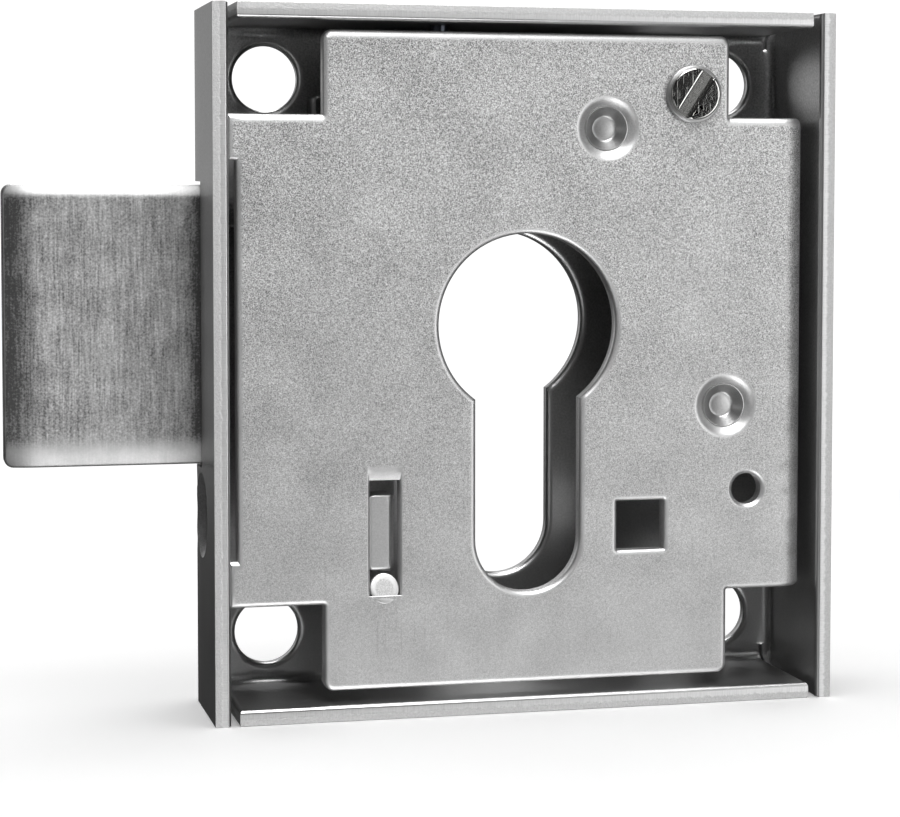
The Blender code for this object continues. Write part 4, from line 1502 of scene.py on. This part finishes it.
@dataclass
class Bolt:
    """Bolt bar with crowned upper and lower edges on its head and a notched drive arm."""

    head_z: tuple[float, float] = (23.4, 49.9)
    head_x: float = 2.75
    notch_x: tuple[float, float] = (15.3, 26.4)
    notch_top: float = 52.1
    talon_z: float = 48.2
    arm_low: float = 45.9
    arm_top: float = 55.6
    arm_end: float = 38.6
    stump: tuple[float, float] = (13.6, 56.2)
    stump_radius: float = 1.5
    top_band: tuple[float, float] = (1.35, 0.50)
    low_band: tuple[float, float] = (3.0, 0.60)
    end_band: tuple[float, float] = (3.4, 0.70)
    head_corner: float = 0.85
    step_corner: float = 0.4
    arm_corner: float = 0.6
    notch_corner: float = 1.0
    hump_land: float = 1.2
    hump_rise: float = 0.7
    talon_land: float = 5.1
    talon_foot: float = 6.6
    tail_height: float = 4.8
    shoulder_x: float = 2.3
    guide_pin: tuple[float, float] = (36.0, 53.6)
    guide_pin_radius: float = 1.4
    crown_end: tuple[float, float] = (2.2, 0.6)

    def __post_init__(self) -> None:
        """Take the bar's depth and reach from its CAD node."""
        self.low, self.high = LOCK.box("bolt")

    def outline(self) -> Array:
        """Return the bar's outline, head to the left and drive arm to the right."""
        x0 = self.low[0]
        r = self.stump_radius
        land = self.hump_land
        hump = (self.stump[0] - r - land, self.stump[0] + r + land, self.stump[1] + r + self.hump_rise)
        head, step, arm, notch = self.head_corner, self.step_corner, self.arm_corner, self.notch_corner
        tail_low = self.arm_top - self.tail_height
        n0, n1 = self.notch_x
        corners = [
            (x0, self.head_z[0], head), (self.head_x, self.head_z[0], step), (self.head_x, self.arm_low, 0),
            (n0, self.arm_low, arm), (n0, self.notch_top, notch), (n1, self.notch_top, notch),
            (n1, self.talon_z, arm), (n1 + self.talon_land, self.talon_z, arm),
            (n1 + self.talon_foot, tail_low, 0), (self.arm_end, tail_low, arm),
            (self.arm_end, self.arm_top, arm), (hump[1], self.arm_top, 0), (hump[1], hump[2], arm),
            (hump[0], hump[2], arm), (hump[0], self.arm_top, 0), (self.shoulder_x, self.arm_top, step),
            (self.shoulder_x, self.head_z[1], 0), (x0, self.head_z[1], head),
        ]
        return rounded(corners)

    def crown(self, u: Array, v: Array, h: Array) -> Array:
        """Crown the head's front: each edge falls away as one minus its share, squared.

        Args:
            u: x.
            v: z.
            h: Depth under the front face.

        Returns:
            Lock coordinates.
        """
        u, v, h = np.broadcast_arrays(u, v, h)
        fall = np.zeros(u.shape)
        for gap, (width, drop) in (
            (self.head_z[1] - v, self.top_band), (v - self.head_z[0], self.low_band),
            (u - self.low[0], self.end_band)
        ):
            fall = fall + drop * np.clip(1 - np.maximum(gap, 0) / width, 0, 1) ** 2
        inside_wall = np.clip((self.crown_end[0] - u) / self.crown_end[1], 0, 1)
        share = 1 - h / (self.high[1] - self.low[1])
        return np.stack(
            [u.astype(float), self.low[1] + h + fall * inside_wall * share, v.astype(float)], axis=-1
        )

    def polish(self, u: Array, v: Array) -> Array:
        """Return how far the head is burnished: fully along its upper and lower bands."""
        top = (self.head_z[1] - v) / self.top_band[0]
        low = (v - self.head_z[0]) / self.low_band[0]
        return np.clip(2.4 - 2.4 * np.minimum(top, low), 0, 1) * np.clip(4 - u, 0, 1)

    def build(self) -> bpy.types.Object:
        """Make the bar and let it stand for its CAD node."""
        x0 = self.low[0]
        z0, z1 = self.head_z
        ends = np.concatenate([x0 + np.arange(0.4, 3.4, 0.3), np.arange(x0 + 4.2, 2.4, 1.2)])
        rows = np.concatenate(
            [
                z0 + np.arange(0.35, 3.2, 0.28),
                np.arange(z0 + 3.9, z1 - 2.0, 1.4),
                z1 - np.arange(0.35, 1.8, 0.18)
            ]
        )
        holes = [(self.stump, self.stump_radius), (self.guide_pin, self.guide_pin_radius)]
        edge = EdgeSection(0.22, 0.20, 0.6, 0.05, lead=0.05, steps=5)
        cuts = [Cut(resampled(self.outline(), 0.8), edge, is_hole=False)]
        cuts += [
            Cut(circle(spot, radius + 0.05, 32), EdgeSection(0.15, 0.1, steps=3)) for spot, radius in holes
        ]
        maker = MeshMaker("bolt_bar")
        SheetPart(self.high[1] - self.low[1], self.crown, grid(ends, rows), self.polish).add(maker, cuts)
        piece = maker.build([BOLT_FACE.material()] * 3)
        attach(piece, Body.BOLT.value)
        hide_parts("bolt")
        return piece


@dataclass
class TumblerLug:
    """Lug that stands in the cover's slot, with soft edges and a rounded blind side."""

    soft: float = 0.42
    spread: tuple[float, float] = (0.27, 0.15)
    fall_width: float = 0.8
    fall: float = 1.2
    corner: float = 0.55
    shank: tuple[float, float] = (0.68, 0.58)
    hub: float = 0.2

    def build(self) -> bpy.types.Object:
        """Make the lug with its rivet shank and let it stand for its CAD node."""
        low, high = LOCK.box("tumbler_lug")
        tumbler = LOCK.box("tumbler")
        maker = MeshMaker("tumbler_lug_soft")
        x0, x1 = low[0] - self.spread[0], high[0] + self.spread[1]
        loop = rounded([(x, z, self.corner) for x, z in rectangle((x0, low[2]), (x1, high[2]))], 4)
        depth = tumbler[0][1] - 0.02 - low[1]

        def fallen(u: Array, v: Array, h: Array) -> Array:
            past = np.clip((u - x1) / self.fall_width + 1, 0, 1) ** 2
            return np.stack(
                np.broadcast_arrays(u, low[1] + h + self.fall * past * (1 - h / depth), v), axis=-1
            )

        spare = grid(np.arange(x0 + 0.4, x1 - 0.2, 0.2), np.arange(low[2] + 0.7, high[2], 0.6))
        section = EdgeSection(self.soft, self.soft, 0.9, 0.0, lead=0.05)
        cut = Cut(resampled(loop, 0.5), section, under=(0.35, 0.25), is_hole=False)
        SheetPart(depth, fallen, spare).add(maker, [cut])
        middle = LOCK.centre("tumbler_lug")
        thick, thin = self.shank
        start = tumbler[0][1] - 0.05
        profile = np.array([
            (self.hub, start), (thick, start), (thick, high[1] - 0.1), (thin, high[1]), (self.hub, high[1])
        ])
        turned_surface(maker, profile, (middle[0], middle[2]), 32)
        piece = maker.build([TUMBLER_FACE.material()] * 3)
        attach(piece, Body.TUMBLER.value)
        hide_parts("tumbler_lug")
        return piece


@dataclass
class CompressionSpring:
    """Wire spring between the tumbler and the upper wall; the real one shortens as the tumbler lifts, this
    mesh stays at one length.
    """

    turns: float = 4.5
    wire: float = 0.25
    steps: int = 180
    sides: int = 12

    def build(self) -> bpy.types.Object:
        """Make the spring.

        The wire's middle is a helix: round the axis by an even turn while its height grows
        evenly.  Round each of its points lies a ring of the wire's radius, spread along the
        helix's outward normal and along the normal that stands square to it and to the wire.

        Returns:
            The spring, at one length between the case at its upper end and the tumbler below.
        """
        low, high = LOCK.box("tumbler_spring")
        middle = LOCK.centre("tumbler_spring")
        radius = (high[0] - low[0]) / 2 - self.wire
        share = np.linspace(0, 1, self.steps + 1)
        turn = share * self.turns * 2 * np.pi
        rise = high[2] - low[2] - 2 * self.wire
        spine = np.stack([middle[0] + radius * np.cos(turn), middle[1] + radius * np.sin(turn),
                          low[2] + self.wire + rise * share], axis=1)
        outward = np.stack([np.cos(turn), np.sin(turn), 0 * turn], axis=1)
        slope = rise / (radius * self.turns * 2 * np.pi)
        along = np.stack([-np.sin(turn), np.cos(turn), 0 * turn + slope], axis=1) / math.hypot(1, slope)
        square = np.cross(outward, along)
        ring = np.arange(self.sides) / self.sides * 2 * np.pi
        offset = outward[:, None] * np.cos(ring)[:, None] + square[:, None] * np.sin(ring)[:, None]
        maker = MeshMaker("tumbler_spring_coiled")
        ids = maker.points(spine[:, None] + self.wire * offset)
        around = np.arange(self.sides + 1) / self.sides * 2 * np.pi * self.wire
        for k in range(self.steps):
            sides = [(share[k], around[:-1]), (share[k + 1], around[:-1]),
                     (share[k + 1], around[1:]), (share[k], around[1:])]
            uv = np.stack([np.stack([0 * v + u, v], axis=1) for u, v in sides], axis=1)
            maker.faces(strip(ids[k], ids[k + 1]), uv)
        for row, end in ((ids[0], 0), (ids[-1][::-1], -1)):
            hub = maker.points(spine[end][None])
            maker.faces(np.stack([np.broadcast_to(hub, row.shape), row, np.roll(row, -1)], axis=1))
        piece = maker.build([SPRING_FACE.material()])
        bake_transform(piece)
        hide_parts("tumbler_spring")
        return piece


@dataclass
class HiddenWorks:
    """CAD nodes inside the case whose shape stays: they only get their finish."""

    turned: tuple[str, ...] = ("screw_post", "bolt_stump", "tail_guide_pin")
    sprung: tuple[str, ...] = ("upper_stud_clip", "right_stud_clip", "spring_peg")

    def dress(self) -> int:
        """Give every kept node its finish.

        Returns:
            How many nodes were dressed.
        """
        wanted = {name: STUD_FACE for name in self.turned}
        wanted |= {name: SPRING_FACE for name in self.sprung}
        wanted["tumbler"] = TUMBLER_FACE
        for name, finish in wanted.items():
            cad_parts[name].material_slots[0].material = finish.material()
        return len(wanted)


# ---------------------------------------------------------------- studio


class Lights(Enum):
    """What a soft box shines on: the lock alone, or the ground alone."""

    LOCK = "EXCLUDE"
    GROUND = "INCLUDE"


@dataclass(frozen=True)
class SoftBox:
    """One square soft box: bearings in degrees round the lock, sizes in millimetres, watts.

    Azimuth 0 is in front of the cover and 90 on the blind side.
    """

    name: str
    azimuth: float
    elevation: float
    power: float
    size: float = 180.0
    distance: float = 400.0
    on: Lights = Lights.LOCK


@dataclass
class Studio:
    """White ground, soft boxes and the camera; places are lock millimetres."""

    aim: tuple[float, float, float] = (28.838, 0.0, 35.379)
    yaw: float = 14.486
    pitch: float = 3.427
    roll: float = 0.105
    distance: float = 236.0
    lens: float = 100.49
    shift: tuple[float, float] = (-0.0778, -0.0761)
    ground: float = 160.0
    ground_glow: float = 0.15
    dim_world: float = 0.03
    boxes: tuple[SoftBox, ...] = (
        SoftBox("key_above_front", 0, 45, 0.82, 160),
        SoftBox("top_soft", 8, 72, 1.4, 220),
        SoftBox("back_top", 180, 60, 0.82, 200),
        SoftBox("front_right", 35, 3, 0.26, 160),
        SoftBox("front_left", -65, 8, 0.06, 160),
        SoftBox("table_bounce", 0, -45, 0.61, 200),
        SoftBox("table_bounce_right", 35, -20, 0.11, 160),
        SoftBox("table_bounce_left", -35, -20, 0.09, 160),
        SoftBox("back_left", -165, 8, 0.095, 200),
        SoftBox("ground_wash", 180, 88, 3.2, 700, on=Lights.GROUND),
    )

    def camera(self) -> None:
        """Stand the camera at its distance from the aim, turned by yaw, pitch and roll."""
        yaw, pitch, roll = (math.radians(a) for a in (self.yaw, self.pitch, self.roll))
        ahead = Vector((math.sin(yaw) * math.cos(pitch), math.cos(yaw) * math.cos(pitch), -math.sin(pitch)))
        right = Vector((math.cos(yaw), -math.sin(yaw), 0))
        up = right.cross(ahead)
        side = right * math.cos(roll) + up * math.sin(roll)
        crown = up * math.cos(roll) - right * math.sin(roll)
        data = bpy.data.cameras.new("product_camera")
        data.lens = self.lens
        data.shift_x, data.shift_y = self.shift
        data.clip_start, data.clip_end = 0.005, 20.0
        camera = bpy.data.objects.new("product_camera", data)
        place = Vector(LOCK.place(np.array(self.aim))) - ahead * self.distance * MM
        camera.matrix_world = Matrix.Translation(place) @ Matrix(
            (side, crown, -ahead)
        ).transposed().to_4x4()
        bpy.context.scene.collection.objects.link(camera)
        bpy.context.scene.camera = camera

    def softbox(self, box: SoftBox, ground: bpy.types.Object) -> None:
        """Hang one square soft box at its bearing, facing the middle of the lock.

        Args:
            box: The soft box.
            ground: The ground, which only its own soft box lights.
        """
        data = bpy.data.lights.new(box.name, "AREA")
        data.shape = "SQUARE"
        data.size = box.size * MM
        data.energy = box.power
        light = bpy.data.objects.new(box.name, data)
        turn, lift = math.radians(box.azimuth), math.radians(box.elevation)
        out = Vector((math.sin(turn) * math.cos(lift), -math.cos(turn) * math.cos(lift), math.sin(lift)))
        middle = Vector(LOCK.place(np.array((LOCK.width, LOCK.depth, LOCK.height)) / 2))
        place = Matrix.Translation(middle + out * box.distance * MM)
        light.matrix_world = place @ (-out).to_track_quat("-Z", "Y").to_matrix().to_4x4()
        bpy.context.scene.collection.objects.link(light)
        lit = bpy.data.collections.new(f"{box.name}_shines_on")
        lit.objects.link(ground)
        lit.collection_objects[0].light_linking.link_state = box.on.value
        light.light_linking.receiver_collection = lit

    def floor(self) -> bpy.types.Object:
        """Lay the white ground under the lock; polished metal does not mirror it."""
        maker = MeshMaker("studio_ground")
        u = np.linspace(-self.ground, self.ground, 9) + LOCK.width / 2
        v = np.linspace(-self.ground, self.ground, 9)
        x, y = np.meshgrid(u, v, indexing="ij")
        ids = maker.points(np.stack([x, y, np.full_like(x, -0.02)], axis=-1))
        maker.faces(
            np.concatenate([strip(a, b, False)[:, ::-1] for a, b in zip(ids[1:], ids[:-1])])[:, ::-1]
        )
        ground = maker.build([replace(PAPER, glow=self.ground_glow).material()])
        ground.visible_glossy = False
        ground.visible_shadow = False
        return ground

    def world(self) -> None:
        """White behind the lock, dim all round for its reflections."""
        made = bpy.data.worlds.new("studio_world")
        made.use_nodes = True
        tree = made.node_tree
        tree.nodes.clear()
        seen = node(tree, "ShaderNodeBackground", {"Color": linear("#FFFFFF"), "Strength": 1.1})
        dim = node(tree, "ShaderNodeBackground", {"Color": linear("#FFFFFF"), "Strength": self.dim_world})
        ray = node(tree, "ShaderNodeLightPath")
        mix = node(
            tree,
            "ShaderNodeMixShader",
            {0: ray.outputs["Is Camera Ray"], 1: dim.outputs[0], 2: seen.outputs[0]}
        )
        node(tree, "ShaderNodeOutputWorld", {"Surface": mix.outputs[0]})
        bpy.context.scene.world = made
        bpy.context.scene.view_settings.view_transform = "Standard"

    def build(self) -> None:
        """Set up the whole studio."""
        self.camera()
        self.world()
        ground = self.floor()
        for box in self.boxes:
            self.softbox(box, ground)


def main() -> None:
    """Build the sub-assemblies in order and report each piece."""
    logging.basicConfig(level=logging.INFO, format="%(name)s: %(message)s")
    pieces = [CaseTray().build(), CoverPlate().build(), CoverScrew().build()]
    pieces += [HollowStud(name).build() for name in ("upper_stud", "right_stud")]
    pieces += [Bolt().build(), TumblerLug().build(), CompressionSpring().build()]
    for piece in pieces:
        log.info("%s: %d faces", piece.name, len(piece.data.polygons))
    log.info("inner parts dressed: %d", HiddenWorks().dress())
    Studio().build()


if __name__ == "__main__":
    main()
